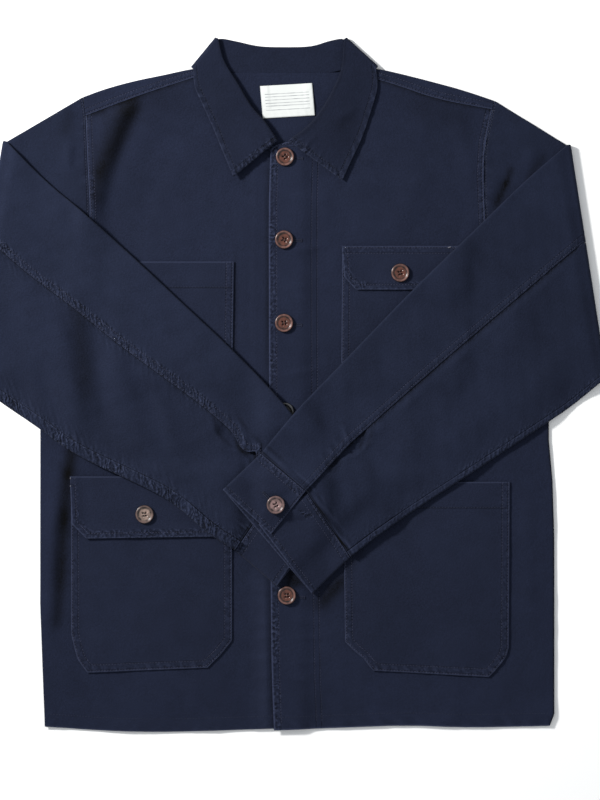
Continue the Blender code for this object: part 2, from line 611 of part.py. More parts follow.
class SleeveShape:
    """Stations of a flattened sleeve: along the arm, round its fold, back to the cuff."""

    def __init__(self, cut, armhole, shoulder_point, cuff, table):
        self.cut = cut
        self.cuff = cuff
        self.armhole = np.concatenate([[shoulder_point],
                                       divided(armhole, ARMHOLE_CELLS)[::-1]])
        self.armhole = self.armhole + [cut.outward * SEAM * 2, 0.0]
        inset = np.array([cut.outward * SLEEVE_AXIS, 0.0])
        upper = np.array(cut.upper_edge, dtype=float)
        lower = np.array(cut.lower_edge, dtype=float)
        upper[0] -= inset
        lower[0] -= inset
        self.fold = np.array([upper[0], lower[0]])
        run = (self.fold[1] - self.fold[0]) / np.linalg.norm(self.fold[1] - self.fold[0])
        self.side = np.array([-run[1], run[0]]) * cut.outward
        self.shares = np.linspace(0.0, 1.0, FOREARM_CELLS + 1)
        self.upper = at_shares(upper, self.shares)
        self.lower = at_shares(lower, self.shares)
        self.lay_arm(table)
        self.lay_forearm(table)

    def arm_plan(self, along, share):
        """Plan point of the upper arm at shares of its length and of its width."""
        places = np.linspace(0.0, 1.0, len(self.armhole))
        start = np.array([np.interp(share, places, self.armhole[:, 0]),
                          np.interp(share, places, self.armhole[:, 1])])
        end = self.fold[0] + (self.fold[1] - self.fold[0]) * share
        return start + (end - start) * along

    def lay_arm(self, table):
        """Put the upper arm's height on the table."""
        shares = np.linspace(0.0, 1.0, ACROSS_CELLS + 1)
        plan = np.array([[self.arm_plan(along, share) for share in shares]
                         for along in np.linspace(0.0, 1.0, ARM_CELLS + 1)])
        table.stamp(surface(plan, STACK + ridge_height(plan, self.cut.arm_ridges)))

    def lay_forearm(self, table):
        """Lay the folded forearm over what is below it."""
        across = np.linspace(0.0, 1.0, ACROSS_CELLS + 1)[None, :, None]
        plan = self.upper[:, None] * (1 - across) + self.lower[:, None] * across
        beds = table.support(plan) + GAP
        beds[0] = 2 * SLEEVE_AXIS - STACK
        self.level = settle(beds, held_rows=1)
        self.level[-2:] = np.max(self.level[-2:], axis=0)

    def height(self, station):
        """Height of the flattened tube at a forearm station."""
        return STACK + (FOREARM_HEIGHT - STACK) * smooth(self.shares[station] * SWELL)

    def seam_share(self, along):
        """Place of the back seam across the forearm: its course, then its turn to the cuff."""
        cut = self.cut
        course = cut.seam_start + (cut.seam_turn - cut.seam_start) * min(1.0, along / SEAM_TURN)
        turned = smooth((along - SEAM_TURN) / (1.0 - SEAM_TURN))
        return course + (cut.seam_end - cut.seam_turn) * turned

    def vent(self, station):
        """How far the vent is open at a station: raise of its lap, then tuck below it."""
        left = np.linalg.norm(self.upper[-1] - self.upper[station])
        return (smooth((VENT_LENGTH - left) / VENT_OPENING),
                smooth((TUCK_LENGTH - left) / TUCK_OPENING))

    def forearm_point(self, station, share, height, seam, raise_lap):
        """Point of the forearm in space."""
        full = self.height(station)
        start = self.upper[station]
        end = self.lower[station]
        facing = upper_wall(height / full)
        notch_at = self.cut.seam_end
        tent = share / notch_at if share < notch_at else (1 - share) / (1 - notch_at)
        first, last = self.upper[-1], self.lower[-1]
        lap = np.array([self.cuff.lap.seam_x, self.cuff.lap.seam_y], dtype=float)
        notch = lap - (first + (last - first) * notch_at)
        left = np.linalg.norm((self.upper[-1] - start) * (1 - share)
                              + (self.lower[-1] - end) * share)
        pull = smooth(1 - left / NOTCH_LENGTH)
        plan = start + (end - start) * share + notch * tent * pull * facing
        places = np.linspace(0.0, 1.0, self.level.shape[1])
        level = np.interp(share, places, self.level[station]) + full - height
        level += ridge_height(plan[None], self.cut.forearm_ridges)[0] * facing
        if raise_lap and height < full / 2:
            lapped = smooth((share - seam) / LAP_REACH + LAP_START)
            level += self.vent(station)[0] * VENT_RAISE * lapped
        return plan[0], plan[1], level

    def walls(self, top_piece):
        """Both sides of one cut piece of the sleeve, as grids of points."""
        near = []
        far = []
        places = ([("arm", along) for along in np.linspace(0.0, 1.0, ARM_CELLS + 1)]
                  + [("bend", 180.0 * step / BEND_STEPS) for step in range(1, BEND_STEPS)]
                  + [("forearm", station) for station in range(FOREARM_CELLS + 1)])
        for kind, place in places:
            station = place if kind == "forearm" else 0
            height = self.height(station)
            seam = self.seam_share(self.shares[station])
            width = np.linalg.norm(self.lower[station] - self.upper[station])
            tuck = self.vent(station)[1] * VENT_TUCK / width if kind == "forearm" else 0.0
            if top_piece:
                ring = top_sleeve_ring(width, height, seam, self.cut.inset)
            else:
                ring = under_sleeve_ring(width, seam, self.cut.inset, tuck)
            for grid, side in ((near, 0), (far, 1)):
                row = []
                for pair in ring:
                    share, level = pair[side]
                    if kind == "arm":
                        plan = self.arm_plan(place, share)
                        rise = ridge_height(plan[None], self.cut.arm_ridges)[0]
                        point = (plan[0], plan[1], level + rise * (1 - upper_wall(level / height)))
                    elif kind == "bend":
                        arm = SLEEVE_AXIS - level
                        swing = math.radians(place)
                        plan = self.fold[0] + (self.fold[1] - self.fold[0]) * share
                        plan = plan + self.side * arm * math.sin(swing)
                        point = (plan[0], plan[1], SLEEVE_AXIS - arm * math.cos(swing))
                    else:
                        point = self.forearm_point(station, share, level, seam, top_piece)
                    row.append(point)
                grid.append(row)
        return np.array(near), np.array(far)


def make_sleeve(cut, armhole, shoulder_point, cuff, table, look, trim):
    """Top sleeve, under sleeve and cuff of one arm."""
    shape = SleeveShape(cut, armhole, shoulder_point, cuff, table)
    top_near, top_far = shape.walls(True)
    cloth_wall(cut.name + "_top", top_near, top_far, look)
    under_near, under_far = shape.walls(False)
    cloth_wall(cut.name + "_under", under_near, under_far, look)
    make_cuff(cuff, shape.level[-1], table, trim)
    table.stamp(top_near[-FOREARM_CELLS - 1:])
    table.stamp(under_near[-FOREARM_CELLS - 1:])


def cuff_between(first, last, share):
    """Crosswise line of a cuff between two of its lines."""
    first = np.array(first, dtype=float).reshape(2, 2)
    last = np.array(last, dtype=float).reshape(2, 2)
    return first + (last - first) * share


def make_cuff(cut, end_level, table, look):
    """Cuff: lapped half on top, round the upper edge, below, and round to the tucked half."""
    places = np.linspace(0.0, 1.0, CUFF_UNDER_RINGS)
    grid = np.array([cuff_between(cut.upper, cut.lower, share) for share in places])
    beds = table.support(grid, CUFF_REACH) + GAP
    beds[:, 0] = np.interp(places, np.linspace(0.0, 1.0, len(end_level)), end_level)
    bed = settle(beds)
    outward = cuff_between(cut.upper, cut.lower, 0.0) - cuff_between(cut.upper, cut.lower, 1.0)
    outward = outward / np.linalg.norm(outward, axis=1, keepdims=True)
    width = np.linalg.norm(np.subtract(cut.upper[:2], cut.lower[:2]))
    radius = CUFF_HEIGHT / 2
    inset = radius / width
    rings = []
    for share in np.linspace(1.0, 0.1, CUFF_LAP_RINGS):
        line = cuff_between(cut.upper, cut.lap, share)
        lift = VENT_RAISE * smooth(share * CUFF_LIFT_PACE - CUFF_LIFT_START)
        rings.append((line, line, CUFF_HEIGHT + lift, CUFF_HEIGHT - CUFF_CLOTH + lift,
                      share * CUFF_LAP_SHARE))
    for side, middle in ((1, inset), (-1, 1 - inset)):
        center = cuff_between(cut.upper, cut.lower, middle)
        for step in range(ROLL_STEPS + 1):
            turn = math.pi * step / ROLL_STEPS
            lines = [center + side * outward * size * math.sin(turn)
                     for size in (radius, radius - CUFF_CLOTH)]
            levels = [radius + side * size * math.cos(turn)
                      for size in (radius, radius - CUFF_CLOTH)]
            rings.append((*lines, *levels, middle))
        if side == 1:
            for share in np.linspace(inset, 1 - inset, CUFF_UNDER_RINGS)[1:-1]:
                line = cuff_between(cut.upper, cut.lower, share)
                rings.append((line, line, 0.0, CUFF_CLOTH, share))
    for share in np.linspace(0.1, 1.0, CUFF_LAP_RINGS):
        line = cuff_between(cut.lower, cut.tuck, share)
        rings.append((line, line, CUFF_HEIGHT, CUFF_HEIGHT - CUFF_CLOTH,
                      1 - share * (1 - CUFF_LAP_SHARE)))
    near = []
    far = []
    for outer_line, inner_line, outer_level, inner_level, share in rings:
        for side, line, height in ((near, outer_line, outer_level),
                                   (far, inner_line, inner_level)):
            run = (line[1] - line[0]) / np.linalg.norm(line[1] - line[0])
            row = []
            for along in (0.0, 0.5, 1.0):
                plan = line[0] + (line[1] - line[0]) * along
                if along == 0.0:
                    plan = plan + run * SEAM * 2
                low = np.interp(share, places, bed[:, 0]) * (1 - along)
                low += np.interp(share, places, bed[:, 1]) * along
                row.append((plan[0], plan[1], low + height))
            side.append(row)
    near = np.array(near)
    cloth_wall(cut.name, near, np.array(far), look)
    table.stamp(near)


def clear_scene():
    """Remove the objects of the start-up scene."""
    for thing in list(bpy.data.objects):
        bpy.data.objects.remove(thing, do_unlink=True)


def main():
    """Build every piece of the jacket, lowest first."""
    clear_scene()
    body = material("navy_twill", (0.016, 0.021, 0.043), 0.85)
    sleeve = material("navy_twill_sleeve", (0.019, 0.025, 0.05), 0.85)
    trim = material("navy_twill_trim", (0.014, 0.018, 0.038), 0.85)
    brown = material("brown_button", (0.17, 0.06, 0.035), 0.35)
    white = material("white_label", (0.8, 0.8, 0.78), 0.7)

    table = Table()
    make_collar(table, trim)
    wraps = make_back(table, body)
    make_patch("neck_label", table, white, NECK_LABEL, LABEL_CLOTH, covered=False)
    make_front("front_right", table, body, HEM_RIGHT, SIDE_RIGHT, ARMHOLE_RIGHT,
               SHOULDER_SEAM_RIGHT, NECKLINE_RIGHT, FRONT_RIGHT_RIDGES)
    make_front("front_left", table, body, HEM_LEFT, SIDE_LEFT, ARMHOLE_LEFT,
               SHOULDER_SEAM_LEFT, NECKLINE_LEFT, [])
    for wrap in wraps:
        table.stamp(wrap)

    make_patch("chest_pocket_right", table, trim, CHEST_POCKET_RIGHT)
    make_patch("chest_pocket_left", table, trim, CHEST_POCKET_LEFT)
    make_patch("hip_pocket_right", table, trim, HIP_POCKET_RIGHT)
    make_patch("hip_pocket_left", table, trim, HIP_POCKET_LEFT)
    make_patch("chest_flap_left", table, trim, CHEST_FLAP_LEFT)
    make_patch("hip_flap_right", table, trim, HIP_FLAP_RIGHT)
    for count, center in enumerate(FRONT_BUTTONS, start=1):
        make_button(f"button_front_{count}", center, table, brown)
    make_button("button_chest_flap", CHEST_FLAP_BUTTON, table, brown)
    make_button("button_hip_flap", HIP_FLAP_BUTTON, table, brown)

    make_sleeve(SLEEVE_RIGHT, ARMHOLE_RIGHT, SHOULDER_POINT_RIGHT, CUFF_RIGHT, table,
                sleeve, trim)
    make_button("button_cuff_right", CUFF_BUTTON_RIGHT, table, brown)
    make_sleeve(SLEEVE_LEFT, ARMHOLE_LEFT, SHOULDER_POINT_LEFT, CUFF_LEFT, table,
                sleeve, trim)
    make_button("button_cuff_left", CUFF_BUTTON_LEFT, table, brown)


if __name__ == "__main__":
    main()
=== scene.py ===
"""Buttoned navy chore jacket lying on its back, sleeves folded over it, seen from above.

Frame: +Z is up off the floor, +Y runs from hem to collar and the wearer's left is +X.
Lengths are in millimetres until a mesh is made.  Every cloth piece is a thin closed wall
between two grids of points.  The pieces are laid one after another on a bed of heights,
lowest piece first, so that each one lies on what is below it.
"""

import logging
import math
from collections.abc import Sequence
from dataclasses import dataclass, field
from enum import Enum

import bmesh
import bpy
import numpy as np
from mathutils import Matrix, Vector

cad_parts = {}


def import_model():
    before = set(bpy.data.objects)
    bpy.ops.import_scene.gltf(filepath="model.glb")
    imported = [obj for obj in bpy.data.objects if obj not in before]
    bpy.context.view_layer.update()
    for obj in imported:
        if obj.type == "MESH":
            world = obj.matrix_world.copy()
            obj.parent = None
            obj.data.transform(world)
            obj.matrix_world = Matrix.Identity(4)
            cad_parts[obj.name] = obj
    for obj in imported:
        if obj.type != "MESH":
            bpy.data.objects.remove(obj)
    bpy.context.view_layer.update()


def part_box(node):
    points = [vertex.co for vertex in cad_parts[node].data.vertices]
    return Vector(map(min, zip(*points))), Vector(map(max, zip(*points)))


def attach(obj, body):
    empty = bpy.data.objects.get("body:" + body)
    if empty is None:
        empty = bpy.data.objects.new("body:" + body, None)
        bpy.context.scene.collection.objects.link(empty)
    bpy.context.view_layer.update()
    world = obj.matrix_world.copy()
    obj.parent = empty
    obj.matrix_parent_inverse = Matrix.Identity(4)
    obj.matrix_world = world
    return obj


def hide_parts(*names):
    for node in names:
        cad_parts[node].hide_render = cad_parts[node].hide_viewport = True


LOG = logging.getLogger("chore_jacket")

Array = np.ndarray
Line = Sequence[tuple[float, float]]
Color = tuple[float, float, float]

MM = 0.001
CLOTH = 1.2
CUFF_CLOTH = 1.6
LABEL_CLOTH = 0.6
GAP = 0.4
SEAM = 0.3
STACK = 2 * CLOTH + GAP
SLEEVE_AXIS = 4.2
COLLAR_AXIS = STACK + CLOTH / 2 + GAP
CUFF_HEIGHT = 4.4
FOREARM_HEIGHT = 4.4
EDGE_STEPS = (0.0, 0.3, 0.8, 1.6, 2.8)
EDGE_ROUND = 0.8
FAR_OFF = 400.0

# Distances of the rows of stitching from the edges that they follow.
PLACKET_ROWS = (8.4, 47.0, 53.0)
ARMHOLE_ROWS = (2.0, 6.5)
WRAP_ROWS = (2.2, 7.5)
SEAM_ROWS = (2.0, 8.0)
CLOSE_ROW = (2.0,)
POCKET_ROWS = (1.8, 8.2)
EDGE_ROW = (5.5,)
COLLAR_ROW = (6.0,)
HEM_ROW = (14.0,)

# Outlines, as (x, y) in the jacket's plane.
HEM_RIGHT = [(16, -377), (-60, -380), (-132, -382), (-190, -381), (-264, -376)]
HEM_LEFT = [(-12, -380), (66, -377), (132, -374.5), (198, -377), (264, -376), (291, -375)]
SIDE_RIGHT = [(-264, -376), (-267, -300), (-269, -240), (-269, -50), (-266, 27)]
SIDE_LEFT = [(291, -375), (296, -362), (296, -170), (294, -105), (290, -61), (290, 24)]
ARMHOLE_RIGHT = [(-266, 27), (-245, 51), (-226, 93), (-216, 148), (-214, 194), (-217, 247),
                 (-219, 295)]
ARMHOLE_LEFT = [(290, 24), (258, 48), (235, 85), (224, 131), (220, 182), (218, 233),
                (220, 265), (228, 302)]
SHOULDER_POINT_RIGHT = (-222, 316)
SHOULDER_POINT_LEFT = (230, 312)
SHOULDER_SEAM_RIGHT = [(-219, 295), (-162, 317), (-103, 336), (-82, 342)]
SHOULDER_SEAM_LEFT = [(228, 302), (167, 313), (120, 330), (74, 342)]
SHOULDER_EDGE_RIGHT = [(-222, 316), (-198, 325), (-165, 334), (-132, 340.5), (-108, 346),
                       (-84, 349)]
SHOULDER_EDGE_LEFT = [(230, 312), (198, 323), (165, 332), (132, 340.5), (104, 347), (76, 349)]
NECKLINE_RIGHT = [(-82, 342), (-79, 327), (-70, 308), (-56, 290), (-36, 273), (-17, 262),
                  (16, 257)]
NECKLINE_LEFT = [(74, 342), (71, 327), (63, 310), (50, 293), (32, 278), (13, 268.5),
                 (2, 266.5), (-12, 262.5), (-16, 258)]
BACK_NECK_Y = 343.0
BACK_NECK_RIGHT_X = -74.0
BACK_NECK_LEFT_X = 66.0


def smooth(share: Array | float) -> Array | float:
    """Soft step from 0 to 1."""
    share = np.clip(share, 0.0, 1.0)
    return share * share * (3.0 - 2.0 * share)


def walked(points: Array) -> Array:
    """How far along a broken line each of its points is."""
    return np.concatenate([[0.0], np.cumsum(np.linalg.norm(np.diff(points, axis=0), axis=1))])


def unit(vector: Array) -> Array:
    """Vector of length 1 in the same direction."""
    return vector / np.linalg.norm(vector)


def bell(value: Array) -> Array:
    """Soft bump: 1 at 0, and nearly nothing beyond 2."""
    return np.exp(-value ** 2)


def spread(values: Array, like: Array) -> Array:
    """Values repeated over the shape of another array."""
    return values + np.zeros(like.shape)


def at_shares(points: Array | Line, shares: Array) -> Array:
    """Points at the given shares of a broken line's length.

    Args:
        points: Points of the line.
        shares: Shares of its length.

    Returns:
        A point for each share.
    """
    points = np.asarray(points, dtype=float)
    lengths = walked(points)
    wanted = np.asarray(shares) * lengths[-1]
    return np.stack([np.interp(wanted, lengths, points[:, axis])
                     for axis in range(points.shape[1])], axis=-1)


def length_of(points: Array | Line) -> float:
    """Length of a broken line."""
    return float(np.linalg.norm(np.diff(np.asarray(points, dtype=float), axis=0), axis=1).sum())


def eased(points: Array | Line, rounds: int = 2) -> Array:
    """Broken line with its corners cut into soft bends; its ends stay.

    Args:
        points: Points of the line.
        rounds: How often every corner is cut.

    Returns:
        Points of the softer line.
    """
    line = np.asarray(points, dtype=float)
    for _ in range(rounds):
        first = line[:-1] * 0.75 + line[1:] * 0.25
        last = line[:-1] * 0.25 + line[1:] * 0.75
        middle = np.stack([first, last], axis=1).reshape(-1, line.shape[1])
        line = np.concatenate([line[:1], middle[1:-1], line[-1:]])
    return line


def sewn_shares(length: float, cells: int, first: bool = True, last: bool = True) -> Array:
    """Shares from 0 to 1, close together at each end that is sewn.

    Args:
        length: Real length, in millimetres, that the shares run along.
        cells: Number of even cells between the ends.
        first: Whether the start has close steps.
        last: Whether the end has close steps.

    Returns:
        Rising shares from 0 to 1.
    """
    steps = np.array(EDGE_STEPS) / length
    low = steps if first else steps[:1]
    high = 1.0 - steps[::-1] if last else np.ones(1)
    inner = np.linspace(low[-1], high[0], cells + 1)[1:-1]
    return np.concatenate([low, inner, high])


def coons(bottom: Array, top: Array, first: Array, last: Array, across: Array,
          up: Array) -> Array:
    """Grid of points that fills four edges, rows from bottom to top.

    Args:
        bottom: Points of the bottom row, one for each share across.
        top: Points of the top row.
        first: Points of the first side, one for each share up.
        last: Points of the last side.
        across: Shares across.
        up: Shares up.

    Returns:
        Points of shape (rows, columns, 2).
    """
    across = across[None, :, None]
    up = up[:, None, None]
    rows = (1 - up) * bottom[None] + up * top[None]
    columns = (1 - across) * first[:, None] + across * last[:, None]
    corners = ((1 - up) * ((1 - across) * bottom[0] + across * bottom[-1])
               + up * ((1 - across) * top[0] + across * top[-1]))
    return rows + columns - corners


def nearest(plan: Array, line: Array | Line) -> tuple[Array, Array]:
    """Distance to a broken line, and the place along it, of each plan point.

    Args:
        plan: Plan points.
        line: Points of the line.

    Returns:
        Distances, and places as millimetres along the line.
    """
    line = np.asarray(line, dtype=float)
    best = np.full(plan.shape[:-1], 1e9)
    place = np.zeros(plan.shape[:-1])
    walked = 0.0
    for start, end in zip(line, line[1:]):
        run = end - start
        length = float(np.linalg.norm(run))
        offset = plan - start
        share = np.clip(offset @ run / length ** 2, 0.0, 1.0)
        distance = np.linalg.norm(offset - share[..., None] * run, axis=-1)
        closer = distance < best
        best = np.where(closer, distance, best)
        place = np.where(closer, walked + share * length, place)
        walked += length
    return best, place


class Waves:
    """Uneven waves: plane waves whose lengths and headings are spread round a middle."""

    def __init__(self, seed: int, wavelength: float, heading: float | None = None,
                 count: int = 7, spread: float = 0.4) -> None:
        """Draw the waves.

        Args:
            seed: Seed of the draw.
            wavelength: Middle length of a wave, in millimetres.
            heading: Direction that the waves run in, or None for every direction.
            count: Number of waves.
            spread: Spread of the lengths, as a share of the middle one.
        """
        random = np.random.default_rng(seed)
        lengths = wavelength * (1.0 + spread * random.uniform(-1.0, 1.0, count))
        if heading is None:
            angles = random.uniform(0.0, math.pi, count)
        else:
            angles = heading + random.normal(0.0, 0.35, count)
        self.pace = 2 * math.pi / lengths
        self.x = self.pace * np.cos(angles)
        self.y = self.pace * np.sin(angles)
        self.phases = random.uniform(0.0, 2 * math.pi, count)
        self.weight = 1.0 / math.sqrt(count)

    def at(self, plan: Array) -> Array:
        """Height of the waves at plan points, mostly from -1 to 1."""
        return sum(np.cos(plan[..., 0] * x + plan[..., 1] * y + phase)
                   for x, y, phase in zip(self.x, self.y, self.phases)) * self.weight

    def along(self, place: Array) -> Array:
        """Height of the waves along a line, mostly from -1 to 1."""
        return sum(np.cos(place * pace + phase)
                   for pace, phase in zip(self.pace, self.phases)) * self.weight


@dataclass(frozen=True)
class Crease:
    """Soft ridge, or a trough where its height is below 0, between two points.

    Its shade is painted shade: how much darker its cloth is painted along it, for the shade in
    folds and hollows and for shadows cast on it; below 0 it paints lighter, worn cloth.
    """

    x0: float
    y0: float
    x1: float
    y1: float
    height: float
    half_width: float
    bow: float = 0.0
    lean: float = 0.0
    shade: float = 0.0

    def at(self, plan: Array) -> Array:
        """How much of the crease is at plan points.

        Args:
            plan: Plan points.

        Returns:
            Shares from 0 to 1.
        """
        start = np.array([self.x0, self.y0])
        run = np.array([self.x1, self.y1]) - start
        length = float(np.linalg.norm(run))
        offset = plan - start
        along = offset @ run / length ** 2
        across = (offset[..., 0] * run[1] - offset[..., 1] * run[0]) / length
        across = across - self.bow * 4 * along * (1 - along)
        half = self.half_width * (1 + self.lean * np.tanh(across / self.half_width))
        ends = smooth((along + 0.3) / 0.5) * smooth((1.3 - along) / 0.5)
        return np.exp(-(across / half) ** 2) * ends


def creases_of(*rows: tuple[float, ...]) -> list[Crease]:
    """Creases from rows of x0, y0, x1, y1, height, half width, bow, lean and shade."""
    return [Crease(*row) for row in rows]


def creased(plan: Array, creases: Sequence[Crease], quality: str = "height") -> Array:
    """Height, or shade, of all creases together at plan points."""
    return sum((getattr(crease, quality) * crease.at(plan) for crease in creases
                if getattr(crease, quality)), np.zeros(plan.shape[:-1]))


@dataclass(frozen=True)
class Pucker:
    """How cloth is drawn up along a seam: its layers and its short uneven waves."""

    layers: float = 0.5
    width: float = 7.0
    height: float = 0.3
    reach: float = 8.0
    wavelength: float = 9.0
    slant: float = 0.5
    seed: int = 1

    def at(self, distance: Array, place: Array, facing: float = 1.0) -> tuple[Array, Array]:
        """Height added near the seam, and how far a point is up on a wave.

        Args:
            distance: Distances from the seam.
            place: Places along the seam.
            facing: 1, or -1 where the waves slant the other way.

        Returns:
            Heights, and shares from -1 to 1, which make the crests lighter as wear and paint shade
            in the troughs.
        """
        run = np.stack([place + facing * self.slant * distance, facing * distance], axis=-1)
        wave = Waves(self.seed, self.wavelength, heading=0.0, count=9, spread=0.6).at(run)
        swell = Waves(self.seed + 50, self.wavelength * 7, count=4).along(place)
        held = bell(distance / self.reach) * (1 + 0.5 * swell)
        raised = self.layers * smooth((self.width + 1.0 - distance) / 2.0)
        return raised + self.height * held * wave, held * wave * min(1.0, self.height * 2)


class Bed:
    """Heights of the floor and of what lies on it so far, on a square raster."""

    CELL = 2.0
    HALF_WIDTH = 400.0
    HALF_LENGTH = 430.0
    PARTS = 4

    def __init__(self) -> None:
        """Start with the bare floor."""
        rows = int(2 * self.HALF_LENGTH / self.CELL) + 1
        columns = int(2 * self.HALF_WIDTH / self.CELL) + 1
        self.heights = np.zeros((rows, columns))

    def lay(self, surface: Array) -> None:
        """Raise the heights to a laid surface.

        Args:
            surface: Points of shape (rows, columns, 3); each of its cells is divided into parts.
        """
        shares = np.linspace(0.0, 1.0, self.PARTS + 1)
        for down in shares:
            for across in shares:
                point = ((1 - down) * (1 - across) * surface[:-1, :-1]
                         + (1 - down) * across * surface[:-1, 1:]
                         + down * (1 - across) * surface[1:, :-1]
                         + down * across * surface[1:, 1:])
                column = np.rint((point[..., 0] + self.HALF_WIDTH) / self.CELL).astype(int)
                row = np.rint((point[..., 1] + self.HALF_LENGTH) / self.CELL).astype(int)
                np.maximum.at(self.heights, (row, column), point[..., 2])

    def under(self, plan: Array, reach: float) -> Array:
        """Soft level that lies on the heights: their highest within reach, then evened out.

        Args:
            plan: Plan points.
            reach: How far, in millimetres, a height holds the level up.

        Returns:
            The level at each point, nowhere below the heights.
        """
        window = max(2, 2 * round(reach / self.CELL / 2))
        level = self.heights
        for axis in (0, 1):
            level = np.max([np.roll(level, shift, axis)
                            for shift in range(-window, window + 1)], axis=0)
        half = window // 2
        for axis in (0, 1, 0, 1):
            level = np.mean([np.roll(level, shift, axis)
                             for shift in range(-half, half + 1)], axis=0)
        return self.sample(level, plan)

    def sample(self, heights: Array, plan: Array) -> Array:
        """Heights of a raster at plan points, evened between its cells.

        Args:
            heights: The raster.
            plan: Plan points.

        Returns:
            A height for each point.
        """
        column = (plan[..., 0] + self.HALF_WIDTH) / self.CELL
        row = (plan[..., 1] + self.HALF_LENGTH) / self.CELL
        left = np.floor(column).astype(int)
        low = np.floor(row).astype(int)
        right = column - left
        up = row - low
        return ((1 - up) * ((1 - right) * heights[low, left] + right * heights[low, left + 1])
                + up * ((1 - right) * heights[low + 1, left]
                        + right * heights[low + 1, left + 1]))

    def highest(self, x: float, y: float, radius: float) -> float:
        """Highest point within a radius of a plan point.

        Args:
            x: Place of the point.
            y: Place of the point.
            radius: Radius, in millimetres.

        Returns:
            The height.
        """
        column = round((x + self.HALF_WIDTH) / self.CELL)
        row = round((y + self.HALF_LENGTH) / self.CELL)
        half = max(1, round(radius / self.CELL))
        return float(self.heights[row - half:row + half + 1,
                                  column - half:column + half + 1].max())


def raised(plan: Array, level: Array) -> Array:
    """Plan points and their levels as points in space."""
    return np.concatenate([plan, np.broadcast_to(level, plan.shape[:-1])[..., None]], axis=-1)


class Graph:
    """Short way to write a material's nodes."""

    def __init__(self, name: str) -> None:
        """Start a material with its surface shader.

        Args:
            name: Name of the material.
        """
        self.material = bpy.data.materials.new(name)
        self.material.use_nodes = True
        self.nodes = self.material.node_tree.nodes
        self.links = self.material.node_tree.links
        self.shader = self.nodes["Principled BSDF"]

    def join(self, value: object, socket: bpy.types.NodeSocket) -> None:
        """Link a socket, or set a plain value.

        Args:
            value: Socket to link from, or the value.
            socket: Socket that takes it.
        """
        if isinstance(value, bpy.types.NodeSocket):
            self.links.new(value, socket)
        else:
            socket.default_value = value

    def add(self, kind: str, fed: dict[int | str, object], **settings: object
            ) -> bpy.types.NodeOutputs:
        """Add a node.

        Args:
            kind: Type of the node.
            fed: What its inputs take, by number or name.
            **settings: Its plain settings.

        Returns:
            Its outputs.
        """
        node = self.nodes.new(kind)
        for key, value in settings.items():
            setattr(node, key, value)
        for key, value in fed.items():
            self.join(value, node.inputs[key])
        return node.outputs

    def math(self, operation: str, *values: object) -> bpy.types.NodeSocket:
        """Result of a math node, or of a chain of them.

        Args:
            operation: What the node does.
            *values: Sockets or numbers; past two, each next one joins the result so far.

        Returns:
            The result.
        """
        while len(values) > 2:
            values = (self.math(operation, *values[:2]), *values[2:])
        return self.add("ShaderNodeMath", dict(enumerate(values)), operation=operation)[0]

    def times(self, value: object, factor: object) -> bpy.types.NodeSocket:
        """Product of two values."""
        return self.math("MULTIPLY", value, factor)

    def away(self, place: object, offset: float) -> bpy.types.NodeSocket:
        """Distance of a place from an offset."""
        return self.math("ABSOLUTE", self.math("SUBTRACT", place, offset))

    def attribute(self, name: str, output: str = "Fac") -> bpy.types.NodeSocket:
        """Attribute of the piece's mesh."""
        return self.add("ShaderNodeAttribute", {}, attribute_name=name)[output]

    def axes(self, vector: object) -> bpy.types.NodeOutputs:
        """Three numbers of a vector."""
        return self.add("ShaderNodeSeparateXYZ", {0: vector})

    def stepped(self, value: object, low: float, high: float, start: float = 0.0,
                end: float = 1.0) -> bpy.types.NodeSocket:
        """Smooth step of a value between two limits, from a start to an end."""
        return self.add("ShaderNodeMapRange", dict(enumerate((value, low, high, start, end))),
                        interpolation_type="SMOOTHSTEP")[0]

    def noise(self, scale: float, detail: float, low: float = 0.0,
              high: float = 1.0) -> bpy.types.NodeSocket:
        """Noise on the object's own coordinates.

        Args:
            scale: Patches for each metre.
            detail: Number of finer layers.
            low: Lowest result.
            high: Highest result.

        Returns:
            The noise.
        """
        place = self.add("ShaderNodeTexCoord", {})["Object"]
        noise = self.add("ShaderNodeTexNoise", {"Vector": place, "Scale": scale,
                                                "Detail": detail})
        return self.stepped(noise[0], 0.3, 0.7, low, high)

    def mixed(self, share: object, first: object, last: object) -> bpy.types.NodeSocket:
        """Mix of two colours by a share of the last one."""
        return self.add("ShaderNodeMix", {0: share, 6: first, 7: last}, data_type="RGBA")[2]

    def lit(self, color: object, bright: object) -> bpy.types.NodeSocket:
        """Colour made brighter or darker."""
        return self.add("ShaderNodeVectorMath", {0: color, "Scale": bright},
                        operation="SCALE")[0]

    def done(self, color: bpy.types.NodeSocket, plain: Color, roughness: float,
             specular: float) -> bpy.types.Material:
        """Set the surface shader.

        Args:
            color: Its colour.
            plain: One colour that stands for it all.
            roughness: Its roughness.
            specular: Its specular level.

        Returns:
            The material.
        """
        self.join(color, self.shader.inputs["Base Color"])
        self.shader.inputs["Roughness"].default_value = roughness
        self.shader.inputs["Specular IOR Level"].default_value = specular
        self.material.diffuse_color = (*plain, 1.0)
        return self.material


